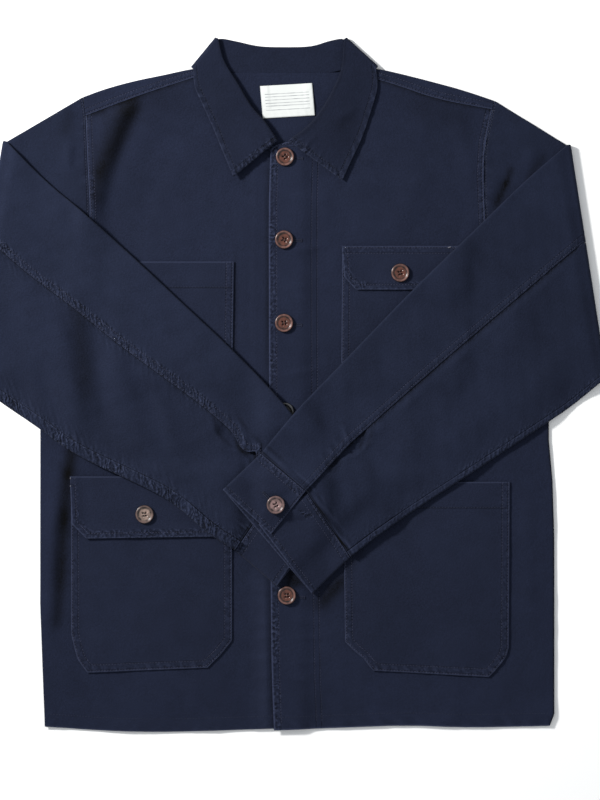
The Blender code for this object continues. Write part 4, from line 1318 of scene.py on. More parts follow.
@dataclass
class FrontPanel:
    """Front, from its centre edge to its side seam and from its hem to its shoulder."""

    shop: Workshop
    name: str
    side: Side
    hem: Line
    seam: Line
    armhole: Line
    shoulder: Line
    neckline: Line
    creases: Sequence[Crease]
    width: float = 290.0
    length: float = 700.0
    across_cells: int = 92
    up_cells: int = 236
    neck_share: float = 0.375

    def build(self) -> None:
        """Make the panel and lay it on the bed."""
        across = sewn_shares(self.width, self.across_cells)
        up = sewn_shares(self.length, self.up_cells)
        outer = np.concatenate([self.seam[:-1], eased(self.armhole)])
        neck = eased(self.neckline[::-1])
        shoulder = eased(self.shoulder[::-1])
        on_neck = across <= self.neck_share
        top = np.concatenate([
            at_shares(neck, across[on_neck] / self.neck_share),
            at_shares(shoulder, (across[~on_neck] - self.neck_share) / (1 - self.neck_share))])
        bottom = at_shares(eased(self.hem, 1), across)
        center = at_shares([bottom[0], top[0]], up)
        if self.side is Side.LEFT:
            center[:, 0] += np.interp(up, *PLACKET_BOW)
        plan = coons(bottom, top, center, at_shares(outer, up), across, up)

        level = self.shop.bed.under(plan, 8.0) + GAP
        from_center, center_place = nearest(plan, at_shares(center, np.linspace(0.0, 1.0, 13)))
        from_hem, hem_place = nearest(plan, bottom)
        from_hole, hole_place = nearest(plan, self.armhole)
        from_neck, neck_place = nearest(plan, neck)
        from_seam, _ = nearest(plan, self.seam)
        from_shoulder, _ = nearest(plan, shoulder)
        seed = 10 + self.side.value
        puckers = [
            (Pucker(0.5, 52.0, 0.30, 8.0, 9.0, 0.3, seed), from_center, center_place),
            (Pucker(0.4, 14.0, 0.12, 10.0, 16.0, 0.8, seed + 3), from_hem, hem_place),
            (Pucker(0.5, 7.0, 0.22, 6.0, 10.0, 0.3, seed + 6), from_hole, hole_place),
            (Pucker(0.1, 5.0, 0.20, 6.0, 8.0, 0.3, seed + 9), from_neck, neck_place),
        ]
        rise = creased(plan, self.creases)
        fade = np.zeros(rise.shape)
        for pucker, distance, place in puckers:
            height, crest = pucker.at(distance, place)
            rise += height
            fade += crest
        # Painted shade along the creases, under the back's wrap at the shoulder seam, along the
        # hem, and on the left front's side edge where it turns away from the light.
        fade -= creased(plan, self.creases, "shade")
        fade -= 1.6 * bell(from_shoulder / 2.4) + 0.8 * bell(from_hem / 1.2)
        if self.side is Side.LEFT:
            fade -= 3.0 * bell(from_seam / 1.6)
        gentle = smooth(np.minimum(from_center, from_neck) / 60.0)
        rise += 0.55 * Waves(seed + 20, 95.0).at(plan) * gentle
        rise += 0.16 * Waves(seed + 21, 34.0).at(plan) * gentle
        low = np.minimum(from_shoulder, from_neck)
        rise = np.where(rise > 0, rise * (0.15 + 0.85 * smooth(low / 14.0)), rise)
        rise = np.maximum(rise, -GAP * 0.4)
        edge = np.minimum.reduce([from_center, from_hem, from_hole, from_neck, from_seam,
                                  from_shoulder])
        skin = make_skin(plan.copy(), fade, from_center, from_hem,
                         np.minimum(from_hole, from_neck))
        recipe = FRONT_TWILL if self.side is Side.LEFT else UNDER_FRONT_TWILL
        _, far = self.shop.cloth(self.name, wall_at(plan, level + rise), edge, skin, recipe,
                                 "navy_twill")
        self.shop.bed.lay(far)
        self.sew(far, from_center, from_hem, from_hole, from_neck)

    def sew(self, top: Array, from_center: Array, from_hem: Array, from_hole: Array,
            from_neck: Array) -> None:
        """Sew the rows of stitching.

        Args:
            top: Points of the upper side.
            from_center: Distances from the centre edge.
            from_hem: Distances from the hem.
            from_hole: Distances from the armhole.
            from_neck: Distances from the neckline.
        """
        sewing = self.shop.sewing
        sewing.seam(Thread.DARK, top, from_hem, HEM_ROW, (3, 3), down=True)
        sewing.seam(Thread.SEAMS, top[60:], from_hole[60:], ARMHOLE_ROWS, (4, 2), True)
        if self.side is Side.LEFT:
            sewing.seam(Thread.SEAMS, top, from_center, PLACKET_ROWS, (8, 4))
            sewing.row(Thread.SEAMS, traced(top, from_neck, 1.8, True, True)[:60], 2, 2)


# How far the left front's edge lies beyond a straight line, by its share of the way up.
PLACKET_BOW = ((0.0, 0.05, 0.12, 0.25, 0.6, 0.9, 1.0),
               (0.0, -1.2, -2.3, -2.6, -3.0, -2.2, 0.0))

# Rows with a shade paint shade: the dark flanks of the chest fold and of the fold below the arm,
# the shoulder, and shadows beside the placket's edge and the chest pocket's edge; the row with
# shade below 0 paints a lighter, worn band.
FRONT_RIGHT_CREASES = creases_of(
    (-173, 316, -213, 190, 6.8, 16, 4, 0.42), (-167, 312, -198, 238, 0, 13.5, 0, 0.3, 3),
    (-201, 238, -211, 200, 0, 9, 0, 0, 2.2), (-18.6, 240, -19, 20, 0, 2.8, 0, 0, 1.6),
    (-17.5, -235, -14, -372, 0, 2.8, 0, 0, 1.4), (-54.4, 133, -55.6, 30, 0, 2.6, 0, 0, 1.3),
    (-24, -212, -24, -372, 0, 8, 0, 0, -0.5), (-32, -208, -18, -206, 0.7, 3.2),
    (-33, -224, -17, -227, 0.8, 3.2), (-32, -241, -19, -240, 0.6, 3.4),
    (-33, -262, -18, -264, 0.8, 3.4), (-31, -279, -17, -277, 0.7, 3.2),
    (-32, -300, -18, -303, 0.9, 3.2), (-33, -322, -17, -320, 0.7, 3.4),
    (-31, -344, -18, -347, 0.8, 3.2), (-150, 290, -186, 214, 1.2, 16, 3),
    (-253, -135, -258, -260, 2.8, 9, 1, 0.4), (-233, -66, -239, -100, 0, 8, 0, 0, 3.1),
    (-239.5, -100, -243, -150, 0, 7, 0, 0, 2.9), (-243, -150, -247, -214, 0, 7.5, 0, 0, 2.9),
    (-247, -216, -250, -262, 0, 6.5, 0, 0, 2.1), (-172, 305, -112, 322, 0, 22, 0, 0, 1),
    (-216, 300, -198, 303, 0, 9, 0, 0, 1.4), (-205, 186, -196, 120, 1.3, 9, -2),
    (-120, 240, -150, 170, 0.9, 12), (-80, 150, -96, 60, 0.7, 14),
    (-100, -330, -104, -372, 1, 9))
# Rows with a shade paint shade: the shoulder, the hollow between the crossed cuffs, and the shadow
# cast beside the lower cuff's tip.
FRONT_LEFT_CREASES = creases_of(
    (130, 314, 205, 292, 0, 20, 0, 0, 1), (6, -203, 11, -222, 0, 11, 0, 0, 3),
    (38, -243, 65, -213, 0, 8.5, 0, 0, 2.8), (190, 290, 208, 220, 1.4, 10, 2),
    (205, 190, 196, 90, 1, 11, -2), (150, 236, 120, 176, 0.8, 14),
    (268, -120, 272, -290, 1.2, 10, 2), (40, 226, 54, 130, 0.8, 12),
    (190, -330, 182, -372, 1, 10), (60, -330, 66, -372, 0.8, 9), (8, 207, 44, 203, 0.8, 4),
    (4, 147, 40, 150, 0.9, 4), (10, 108, 46, 104, 0.7, 3.5), (6, 12, 36, 15, 0.8, 4),
    (12, -259, 42, -262, 0.8, 3.5), (14, -278, 48, -279, 0.9, 3), (8, -307, 44, -304, 0.7, 3.5),
    (6, -323, 30, -325, 0.7, 3))


@dataclass
class Patch:
    """Patch sewn on a panel: a pocket, a flap or the label.

    Its rows run from its top to its bottom, each with y and the x of both side edges.
    """

    shop: Workshop
    name: str
    rows: Sequence[tuple[float, float, float]]
    recipe: Twill | Label
    slot: str = "navy_twill_trim"
    cell: float = 2.3
    wall: float = CLOTH
    lift: float = 0.0
    pillow: float = 0.3
    hem: float = 0.0
    pucker: float = 0.22
    seed: int = 1
    creases: Sequence[Crease] = ()
    free_bottom: bool = False
    plain_top: bool = False
    turn: float = 0.0
    dip: float = 0.0

    def build(self) -> None:
        """Make the patch and lay it on the bed."""
        heights, lefts, rights = np.array(self.rows, dtype=float).T
        total = heights[0] - heights[-1]
        width = (rights - lefts).max()
        up = heights[0] - total * sewn_shares(total, round(total / self.cell))
        left = np.interp(-up, -heights, lefts)
        right = np.interp(-up, -heights, rights)
        across = sewn_shares(width, round(width / self.cell))
        x = left[:, None] * (1 - across) + right[:, None] * across
        plan = np.stack([x, np.broadcast_to(up[:, None], x.shape)], axis=-1)

        border = ([(left, y) for y, left, _ in self.rows]
                  + [(right, y) for y, _, right in self.rows[::-1]])
        around, place = nearest(plan, border)
        from_top = heights[0] - plan[..., 1]
        from_bottom = plan[..., 1] - heights[-1]
        flat = plan.copy()
        plan[..., 1] -= self.dip * (2 * across - 1) * smooth(from_top / total)
        middle = plan.mean(axis=(0, 1))
        offset = plan - middle
        cos, sin = math.cos(self.turn), math.sin(self.turn)
        plan = middle + np.stack([offset @ [cos, -sin], offset @ [sin, cos]], axis=-1)
        level = self.shop.bed.under(plan, 6.0) + GAP
        pucker = Pucker(0.25, 9.0, self.pucker, 6.5, 8.5, 0.5, self.seed)
        rise, fade = pucker.at(around, place)
        low, *ends = self.rows[-2]
        corner = np.minimum(*[np.hypot(plan[..., 0] - end, plan[..., 1] - low) for end in ends])
        bunched = 1 + 1.2 * bell(corner / 18.0)
        rise = rise * bunched
        fade = fade * bunched
        rise += self.pillow * smooth(around / 30.0) + 0.25 * Waves(
            self.seed + 7, 60.0).at(plan) * smooth(around / 18.0)
        if self.hem:
            rise += 0.3 * smooth((self.hem - from_top) / 4.0)
        rise += self.lift * (1 - smooth(np.minimum(from_bottom, around + 4.0) / 22.0))
        rise += creased(plan, self.creases)
        # Painted shade along the creases.
        fade -= creased(plan, self.creases, "shade")
        rise = np.maximum(rise, -GAP * 0.5)
        if not self.free_bottom:
            rise *= smooth((around + 3.0) / 6.0)
        worn = around
        if self.plain_top:
            worn = around + 14.0 * smooth((11.0 - from_top) / 8.0)
            # Painted shade along the sewn top edge.
            fade = fade - 1.3 * bell(from_top / 1.3)
        skin = make_skin(flat, fade, worn, from_top)
        _, far = self.shop.cloth(self.name, wall_at(plan, level + rise, self.wall), around,
                                 skin, self.recipe, self.slot)
        self.shop.bed.lay(far)
        self.sew(far, around, from_top)

    def sew(self, top: Array, around: Array, from_top: Array) -> None:
        """Sew the rows of stitching.

        Args:
            top: Points of the upper side.
            around: Distances from the nearest edge.
            from_top: Distances from the top edge.
        """
        if isinstance(self.recipe, Label):
            return
        sewing = self.shop.sewing
        row, column = around.shape[0] // 2, around.shape[1] // 2
        for offset in EDGE_ROW if self.free_bottom else POCKET_ROWS:
            for from_end, half in ((False, slice(None, column)), (True, slice(column, None))):
                sewing.seam(Thread.SEAMS, top[:, half], around[:, half], (offset,), (1, 3),
                            from_end)
            sewing.seam(Thread.SEAMS, top[row:], around[row:], (offset,), (5, 5), True, True)
        if self.plain_top:
            return
        if self.free_bottom:
            sewing.seam(Thread.SEAMS, top, from_top, SEAM_ROWS, (2, 2), down=True)
        elif self.hem:
            sewing.seam(Thread.DARK, top, from_top, (self.hem,), (2, 2), down=True)


CHEST_POCKET_RIGHT = [(135, -178, -56), (24, -178, -57.5), (10, -166, -70)]
CHEST_POCKET_LEFT = [(148, 63, 190), (24, 62, 190), (10, 74, 178)]
CHEST_FLAP_LEFT = [(152, 62.5, 191), (118, 65, 190), (104, 78, 178)]
HIP_POCKET_RIGHT = [(-104, -235, -58), (-271, -235, -58), (-284, -232, -58),
                    (-299, -228, -70), (-314, -217, -85)]
HIP_FLAP_RIGHT = [(-101, -236, -57), (-152, -234, -57), (-168, -218, -72)]
HIP_POCKET_LEFT = [(-107, 64, 247), (-286, 66, 246), (-296, 76, 243), (-304, 86, 237),
                   (-312, 92, 230), (-318, 97, 224)]
NECK_LABEL = [(329.5, -26.5, 31.0), (294, -25.5, 32)]


@dataclass(frozen=True)
class CollarStation:
    """One section of the collar.

    Attributes:
        values: Seam point of the stand, roll and outer edge of the fall, each x and y;
            height of the flattened tube; level of the stand and of the fall's edge.
        turn: How far the section is turned about its fold, in degrees.
        outward: Side that it turns to.
    """

    values: Sequence[float]
    turn: float
    outward: int


# The flat sections behind the neck: stand, roll and outer edge.
COLLAR_BACK = [
    (-66, 345, -67, 380, -87, 337), (-52, 343, -52, 377, -65, 328),
    (-25, 343, -28, 372, -31, 323), (0, 343, 0, 371, 0, 322), (28, 343, 28, 372, 30, 323),
    (48, 343, 48, 377.5, 58, 327), (60, 345, 60, 380, 79, 335),
]
COLLAR_FOLD_RIGHT = (-74, 347, -73.5, 380.0, -100.5, 346.5, STACK, 4.8, 6.4)
COLLAR_FOLD_LEFT = (68, 347, 65, 379.5, 100, 347, STACK, 4.8, 6.0)
COLLAR_LEAF_RIGHT = [
    (-79.5, 327, -67, 356, -99, 327, 3.4, 4.9, 6.4),
    (-71, 306, -51.5, 330.5, -90, 306, 4.4, 4.9, 5.8),
    (-56, 287, -36.5, 305.5, -80, 284, 5.0, 4.9, 5.4),
    (-36, 270.5, -21, 287.5, -69, 257, 5.0, 5.2, 6.6),
    (-19, 258.5, -8, 268, -56.5, 227.5, 5.0, 5.4, 8.6),
]
COLLAR_LEAF_LEFT = [
    (73.5, 326, 62, 348, 101.5, 326, 3.4, 4.9, 5.5),
    (65.5, 308, 53, 325, 94.5, 300, 4.4, 4.9, 5.1),
    (52, 290, 40.5, 303, 85.5, 273, 5.0, 4.9, 4.9),
    (34, 275, 25, 284, 73.5, 247, 5.0, 5.8, 5.3),
    (12, 264, 3, 267, 63, 224, 5.0, 6.0, 5.8),
]

# The row with a shade paints shade below the soft fold on the left leaf.
COLLAR_CREASES = creases_of(
    (58, 291, 76, 302, 1, 5.5), (56, 282, 78, 292, 0, 9, 0, 0, 0.4), (20, 262, 34, 272, 0.7, 3),
    (14, 252, 24, 262, 0.6, 3))


def flowing(values: Array, cells: int) -> Array:
    """Rows of numbers, with even soft steps put between each two.

    Args:
        values: The rows.
        cells: Number of steps between two of them.

    Returns:
        All rows.
    """
    values = np.asarray(values, dtype=float)
    padded = np.concatenate([2 * values[:1] - values[1:2], values,
                             2 * values[-1:] - values[-2:-1]])
    found = [values[0]]
    for index in range(1, len(values)):
        before, start, end, after = padded[index - 1:index + 3]
        for step in range(1, cells + 1):
            t = step / cells
            found.append(0.5 * (2 * start + (end - before) * t
                                + (2 * before - 5 * start + 4 * end - after) * t * t
                                + (3 * start - before - 3 * end + after) * t ** 3))
    return np.array(found)


@dataclass
class Collar:
    """One-piece collar: flat behind the neck, folded over both shoulders to its leaves."""

    shop: Workshop
    leaf_cells: int = 13
    fold_cells: int = 14
    back_cells: int = 7
    stand_cells: int = 6
    roll_steps: int = 12
    fall_cells: int = 24

    def stations(self) -> list[CollarStation]:
        """All sections, from the tip of the right leaf to the tip of the left one.

        Returns:
            The sections.
        """
        right = flowing([COLLAR_FOLD_RIGHT, *COLLAR_LEAF_RIGHT], self.leaf_cells)
        left = flowing([COLLAR_FOLD_LEFT, *COLLAR_LEAF_LEFT], self.leaf_cells)
        middle = flowing([COLLAR_FOLD_RIGHT[:6], *COLLAR_BACK, COLLAR_FOLD_LEFT[:6]],
                         self.back_cells)[1:-1]
        turns = np.linspace(0.0, 180.0, self.fold_cells + 1)
        found = [CollarStation(values, 180.0, -1) for values in right[:0:-1]]
        found += [CollarStation(COLLAR_FOLD_RIGHT, turn, -1) for turn in turns[::-1]]
        self.first_flat = len(found)
        found += [CollarStation((*values, STACK, 0.0, 0.0), 0.0, 1) for values in middle]
        self.last_flat = len(found)
        found += [CollarStation(COLLAR_FOLD_LEFT, turn, 1) for turn in turns]
        return found + [CollarStation(values, 180.0, 1) for values in left[1:]]

    def section(self, station: CollarStation) -> tuple[Array, Array, Array]:
        """One section, from the stand's seam over the roll to the fall's edge.

        Args:
            station: Its sizes.

        Returns:
            Outer points, inner points, and the distance of each from the fall's edge.
        """
        stand, roll, edge = np.array(station.values[:6], dtype=float).reshape(3, 2)
        height = station.values[6]
        radius = height / 2
        stand_run = unit(roll - stand)
        fall_run = unit(roll - edge)
        center = roll - unit(stand_run + fall_run) * radius
        outer, inner = [], []
        for share in sewn_shares(30.0, self.stand_cells, True, False)[:-1]:
            plan = stand + (center - stand) * share
            outer.append((plan, height, stand_run, -1.0))
            inner.append((plan, height - CLOTH, stand_run, -1.0))
        for step in range(self.roll_steps + 1):
            turn = math.pi * step / self.roll_steps
            share = step / self.roll_steps
            run = unit(stand_run * (1 - share) + fall_run * share)
            for line, size in ((outer, radius), (inner, radius - CLOTH)):
                line.append((center + run * size * math.sin(turn),
                             radius + size * math.cos(turn), run, -1.0))
        fall = float(np.linalg.norm(edge - center))
        for share in sewn_shares(fall, self.fall_cells, False)[1:]:
            plan = center + (edge - center) * share
            outer.append((plan, 0.0, fall_run, share))
            inner.append((plan, CLOTH, fall_run, share))
        sides = [np.array([self.turned(station, *point) for point in line])
                 for line in (outer, inner)]
        return *sides, np.array([fall * (1 - share) if share >= 0 else fall + 6.0
                                 for *_, share in outer])

    @staticmethod
    def turned(station: CollarStation, plan: Array, level: float, run: Array,
               share: float) -> Array:
        """Point of a section, turned over the shoulder and laid on the front.

        Args:
            station: Sizes of the section.
            plan: Plan point of the flat section.
            level: Its level, with the section face down.
            run: Direction that the section runs in.
            share: Share of the way down the fall, or -1 above it.

        Returns:
            The point.
        """
        height, base, edge_level = station.values[6:]
        side = np.array([-run[1], run[0]])
        side = side if side[0] * station.outward > 0 else -side
        if station.turn < 180:
            arm = COLLAR_AXIS - level
            swing = math.radians(station.turn)
            plan = plan + side * arm * math.sin(swing)
            level = COLLAR_AXIS - arm * math.cos(swing)
        elif share < 0:
            level = base + height - level
        else:
            start = base + height - CLOTH
            level = start + (edge_level - start) * smooth(share) + CLOTH - level
        return np.array([*plan, level])

    def build(self) -> None:
        """Make the collar and lay its hidden half on the bed."""
        stations = self.stations()
        outer, inner, from_edge = (np.array(part) for part in zip(
            *[self.section(station) for station in stations]))
        turned = np.array([station.turn / 180.0 for station in stations])[:, None]
        place = spread(walked(outer[:, -1])[:, None], from_edge)
        run = walked(outer[:, -8])
        from_front = spread(np.minimum(run, run[-1] - run)[:, None], from_edge)

        rise, fade = Pucker(0.0, 6.0, 0.24, 6.0, 9.0, 0.4, 61).at(from_edge, place)
        rise_front, front_wear_and_shade = Pucker(0.0, 6.0, 0.75, 9.0, 7.5, 0.5, 67).at(
            from_front, from_edge)
        fall = from_edge < from_edge.max(axis=1, keepdims=True) - 0.1
        free = np.where(fall, 1.0, 0.0) * smooth((turned - 0.9) / 0.1)
        plan = outer[..., :2]
        rise = (rise + rise_front + creased(plan, COLLAR_CREASES)) * free
        rise += 0.5 * Waves(71, 52.0).at(plan) * free * smooth(from_edge / 14.0)
        rise = np.maximum(rise, -0.2)
        # Puckers: worn crests, and painted shade in the troughs; the creases paint shade too.
        fade = (fade + front_wear_and_shade - creased(plan, COLLAR_CREASES, "shade")) * free
        # Painted shade along the left leaf's roll.
        first_fall = int(np.argmax(fall[0]))
        roll_shade = bell((np.arange(fall.shape[1]) - first_fall + 4) / 3.5)
        fade[self.last_flat + self.fold_cells:] -= 1.1 * roll_shade
        from_stand = np.linalg.norm(outer[:, :, :2] - outer[:, :1, :2], axis=-1)
        for side in (outer, inner):
            side[..., 2] += rise
        start = self.stand_cells + self.roll_steps
        from_stand[:, start:] = FAR_OFF
        from_stand[self.first_flat:self.last_flat] = FAR_OFF
        skin = make_skin(np.stack([place, from_edge], axis=-1), fade, from_edge, from_front)
        outer, inner = self.shop.cloth(
            "collar", (outer, inner), np.minimum.reduce([from_edge, from_front, from_stand]),
            skin, COLLAR_TWILL, "navy_twill_trim")
        self.shop.bed.lay(inner[self.first_flat - 1:self.last_flat + 1, start:])
        self.sew(outer, from_edge, from_front)

    def sew(self, top: Array, from_edge: Array, from_front: Array) -> None:
        """Sew one row round the outer edge of each leaf.

        Args:
            top: Points of the outer side.
            from_edge: Distances from the fall's edge.
            from_front: Distances from the ends of both leaves.
        """
        sewing = self.shop.sewing
        leaf = len(COLLAR_LEAF_RIGHT) * self.leaf_cells
        for rows in (slice(0, leaf), slice(-leaf, None)):
            sewing.seam(Thread.DARK, top[rows], from_edge[rows], COLLAR_ROW, (7, 2), True)
        half = (len(top) - 1) // 2
        columns = slice(-self.fall_cells - 4, None)
        for rows, from_end in ((slice(0, half), False), (slice(half, None), True)):
            sewing.seam(Thread.DARK, top[rows, columns], from_front[rows, columns], COLLAR_ROW,
                        (2, 7), from_end, True)


@dataclass(frozen=True)
class CuffCut:
    """Lines across a cuff, each from its seam to its free end.

    Attributes:
        name: Name of the part.
        upper: Its upper edge.
        lap: Edge of its lap.
        lower: Its lower edge.
        tuck: Its tucked end.
    """

    name: str
    upper: Array
    lap: Array
    lower: Array
    tuck: Array


CUFF_RIGHT = CuffCut("cuff_right", *np.array([
    [(41, -74), (85, -105)], [(-12, -119), (38, -153)], [(-55, -182), (-9, -221)],
    [(-14, -122), (45, -143)]], dtype=float))
CUFF_LEFT = CuffCut("cuff_left", *np.array([
    [(-26, -75), (-68, -115)], [(23, -116), (-15, -164)], [(72, -189), (30, -230)],
    [(25, -119), (-29, -153)]], dtype=float))


def between(first: Array, last: Array, share: Array | float) -> Array:
    """Mix of two sets of points by a share of the last one."""
    return first * (1 - share) + last * share


@dataclass
class Cuff:
    """Cuff: lapped half on top, round the upper edge, below, round to the tucked half."""

    shop: Workshop
    cut: CuffCut
    seed: int
    along_cells: int = 20
    lap_cells: int = 26
    under_cells: int = 22
    tuck_cells: int = 14
    roll_steps: int = 8
    lap_raise: float = CUFF_CLOTH + GAP
    lap_share: float = 0.46

    def rings(self, width: float) -> list[tuple[Array, Array, float, float, float, float]]:
        """Lines across the cuff, from the lap's edge round both edges to the tucked end.

        Args:
            width: Width of the cuff from its upper to its lower edge.

        Returns:
            For each line: its outer and inner points and levels, its place from the upper
            edge, and its distance from the lap's edge.
        """
        cut = self.cut
        radius = CUFF_HEIGHT / 2
        inset = radius / width
        inner_level = CUFF_HEIGHT - CUFF_CLOTH
        outward = cut.upper - cut.lower
        outward = outward / np.linalg.norm(outward, axis=1, keepdims=True)
        found = []
        lap_width = width * self.lap_share
        for share in sewn_shares(lap_width, self.lap_cells, True, False):
            back = 1.0 - share * 0.95
            line = between(cut.upper, cut.lap, back)
            lift = self.lap_raise * smooth(back * 1.6 - 0.2)
            found.append((line, line, CUFF_HEIGHT + lift, inner_level + lift,
                          back * self.lap_share, (1 - back) * lap_width))
        for side, middle in ((1, inset), (-1, 1 - inset)):
            center = between(cut.upper, cut.lower, middle)
            for step in range(self.roll_steps + 1):
                turn = math.pi * step / self.roll_steps
                sizes = (radius, radius - CUFF_CLOTH)
                found.append((*[center + side * outward * size * math.sin(turn)
                                for size in sizes],
                              *[radius + side * size * math.cos(turn) for size in sizes],
                              middle, FAR_OFF))
            if side == 1:
                for share in np.linspace(inset, 1 - inset, self.under_cells + 1)[1:-1]:
                    line = between(cut.upper, cut.lower, share)
                    found.append((line, line, 0.0, CUFF_CLOTH, share, FAR_OFF))
        for share in np.linspace(0.06, 1.0, self.tuck_cells + 1):
            line = between(cut.lower, cut.tuck, share)
            found.append((line, line, CUFF_HEIGHT, inner_level, 1 - share * (1 - self.lap_share),
                          FAR_OFF))
        return found

    def build(self, end_level: Array) -> None:
        """Make the cuff at the end of a sleeve.

        Args:
            end_level: Level of the sleeve's end, from its upper to its lower edge.
        """
        cut = self.cut
        width = float(np.linalg.norm(cut.upper[0] - cut.lower[0]))
        length = float(np.linalg.norm(cut.upper[1] - cut.upper[0]))
        rings = self.rings(width)
        along = sewn_shares(length, self.along_cells)
        places = np.linspace(0.0, 1.0, 40)
        lines = between(cut.upper, cut.lower, places[:, None, None])
        beds = self.shop.bed.under(between(lines[:, :1], lines[:, 1:], along[None, :, None]),
                                   8.0) + GAP
        held = np.interp(places, np.linspace(0.0, 1.0, len(end_level)), end_level)
        low = beds + (held - beds[:, 0])[:, None] * (1 - smooth(along * 1.6))[None]

        sides: tuple[list[Array], list[Array]] = ([], [])
        for *pair, outer_level, inner_level, share, _ in rings:
            bed = np.array([np.interp(share, places, column) for column in low.T])
            for side, line, height in zip(sides, pair, (outer_level, inner_level)):
                start = line[0] + unit(line[1] - line[0]) * SEAM * 2
                side.append(raised(start + (line[1] - start) * along[:, None], bed + height))
        outer, inner = (np.array(side) for side in sides)
        arc = spread(walked(outer[:, 5])[:, None], outer[..., 0])
        from_lap = spread(np.array([ring[-1] for ring in rings])[:, None], arc)
        from_seam = spread(along[None] * length, arc)
        from_end = spread((1 - along)[None] * length, arc)

        showing = smooth((width * self.lap_share * 1.05 - arc) / 8.0)
        tucked = smooth((arc - arc.max() + 60.0) / 10.0)
        free = np.maximum(showing, tucked)
        rise, fade = Pucker(0.0, 8.0, 0.30, 8.0, 8.0, 0.5, self.seed).at(from_seam, arc)
        end_rise, end_wear_and_shade = Pucker(0.0, 6.0, 0.20, 6.0, 8.0, 0.5, self.seed + 1).at(
            from_end, arc)
        rise = (rise + end_rise) * free * (0.8 - 0.5 * tucked)
        rise += 0.35 * Waves(self.seed + 2, 38.0).at(outer[..., :2]) * free * smooth(
            from_seam / 10.0)
        rise = np.maximum(rise, -0.1)
        for side in (outer, inner):
            side[..., 2] += rise
        skin = make_skin(np.stack([arc, from_seam], axis=-1),
                         (fade + end_wear_and_shade) * free * (1 - 0.7 * tucked),
                         from_lap, from_seam * (1 + 1.6 * tucked), from_end)
        edge = np.minimum.reduce([from_seam, from_end, from_lap, arc.max() - arc])
        outer, _ = self.shop.cloth(cut.name, (outer, inner), edge, skin, CUFF_TWILL,
                                   "navy_twill_trim")
        self.shop.bed.lay(outer)
        sewing = self.shop.sewing
        top = self.lap_cells + 6
        sewing.seam(Thread.SEAMS, outer[:top], from_lap[:top], CLOSE_ROW, (1, 1), down=True)
        for rows in (slice(0, top), slice(-self.tuck_cells - 1, None)):
            sewing.seam(Thread.SEAMS, outer[rows], from_seam[rows], SEAM_ROWS, (1, 1))
            sewing.seam(Thread.SEAMS, outer[rows], from_end[rows], EDGE_ROW, (1, 1), True)


@dataclass(frozen=True)
class SleeveCut:
    """Lie of one sleeve, its edges from the fold line to the cuff, and its seams."""

    name: str
    side: Side
    armhole: Line
    shoulder_point: tuple[float, float]
    upper_edge: Line
    lower_edge: Line
    seam_start: float
    seam_turn: float
    seam_end: float
    inset: float
    arm_creases: Sequence[Crease]
    forearm_creases: Sequence[Crease]
    back_pucker: Pucker
    under_pucker: Pucker
    drag: float
    vent_bulge: float
    vent_shade: float
    seam_shade: float
    recipe: Twill
    seed: int


# Crease rows with a shade paint shade on the sleeves: in the valleys of folds, in dark wedges near
# the shoulders and in streaks by the vents; vent_shade and seam_shade paint shade in the vent's
# hollow and along the back seam.
SLEEVE_RIGHT = SleeveCut(
    "sleeve_right", Side.RIGHT, ARMHOLE_RIGHT, SHOULDER_POINT_RIGHT,
    upper_edge=[(-310, 267), (-263, 223), (-222, 190), (-160, 134), (-109, 86), (-57, 38),
                (-3, -18), (41, -74)],
    lower_edge=[(-354, 9), (-314, -19), (-270, -48), (-230, -78), (-166, -107), (-124, -128),
                (-85, -163), (-55, -182)],
    seam_start=0.42, seam_turn=0.388, seam_end=0.46, inset=12.0,
    arm_creases=creases_of(
        (-236, 300, -242, 276, 0, 7, 0, 0, 1), (-237, 262, -238, 242, 1.4, 5, 0, 0.3),
        (-229, 260, -231, 238, -0.6, 4)),
    forearm_creases=creases_of(
        (-229, 84, -217, -10, 0, 10, 0, 0, 1.8), (-49, -37, -33, -59, -0.5, 2.6, 1, 0, 1),
        (-32, -58, -22, -70, -0.4, 2.6, 0, 0, 1), (-83, -37, -68, -68, 0.9, 3.4, -2),
        (-78, -35, -72, -55, -0.3, 3.4, 0, 0, 0.8), (-248, 70, -226, -40, 3.6, 14, 0, 0.3),
        (-213, 68, -198, -40, -2.4, 10), (-188, 30, -160, -66, 2.4, 16, 0, 0.3),
        (-300, 110, -262, 66, 1.8, 16), (-158, 10, -134, -60, -1.4, 9),
        (-268, 14, -246, -52, -1.4, 9), (-136, -24, -112, -92, 1.6, 11),
        (-120, 40, -70, -10, 1, 14), (-262, 190, -200, 120, 1.2, 18, 3)),
    back_pucker=Pucker(0.0, 7.0, 0.40, 10.0, 9.0, -0.8, 81),
    under_pucker=Pucker(0.0, 7.0, 0.80, 13.0, 7.0, -1.2, 82),
    drag=0.7, vent_bulge=7.5, vent_shade=3.4, seam_shade=0.8, recipe=SLEEVE_TWILL, seed=83)
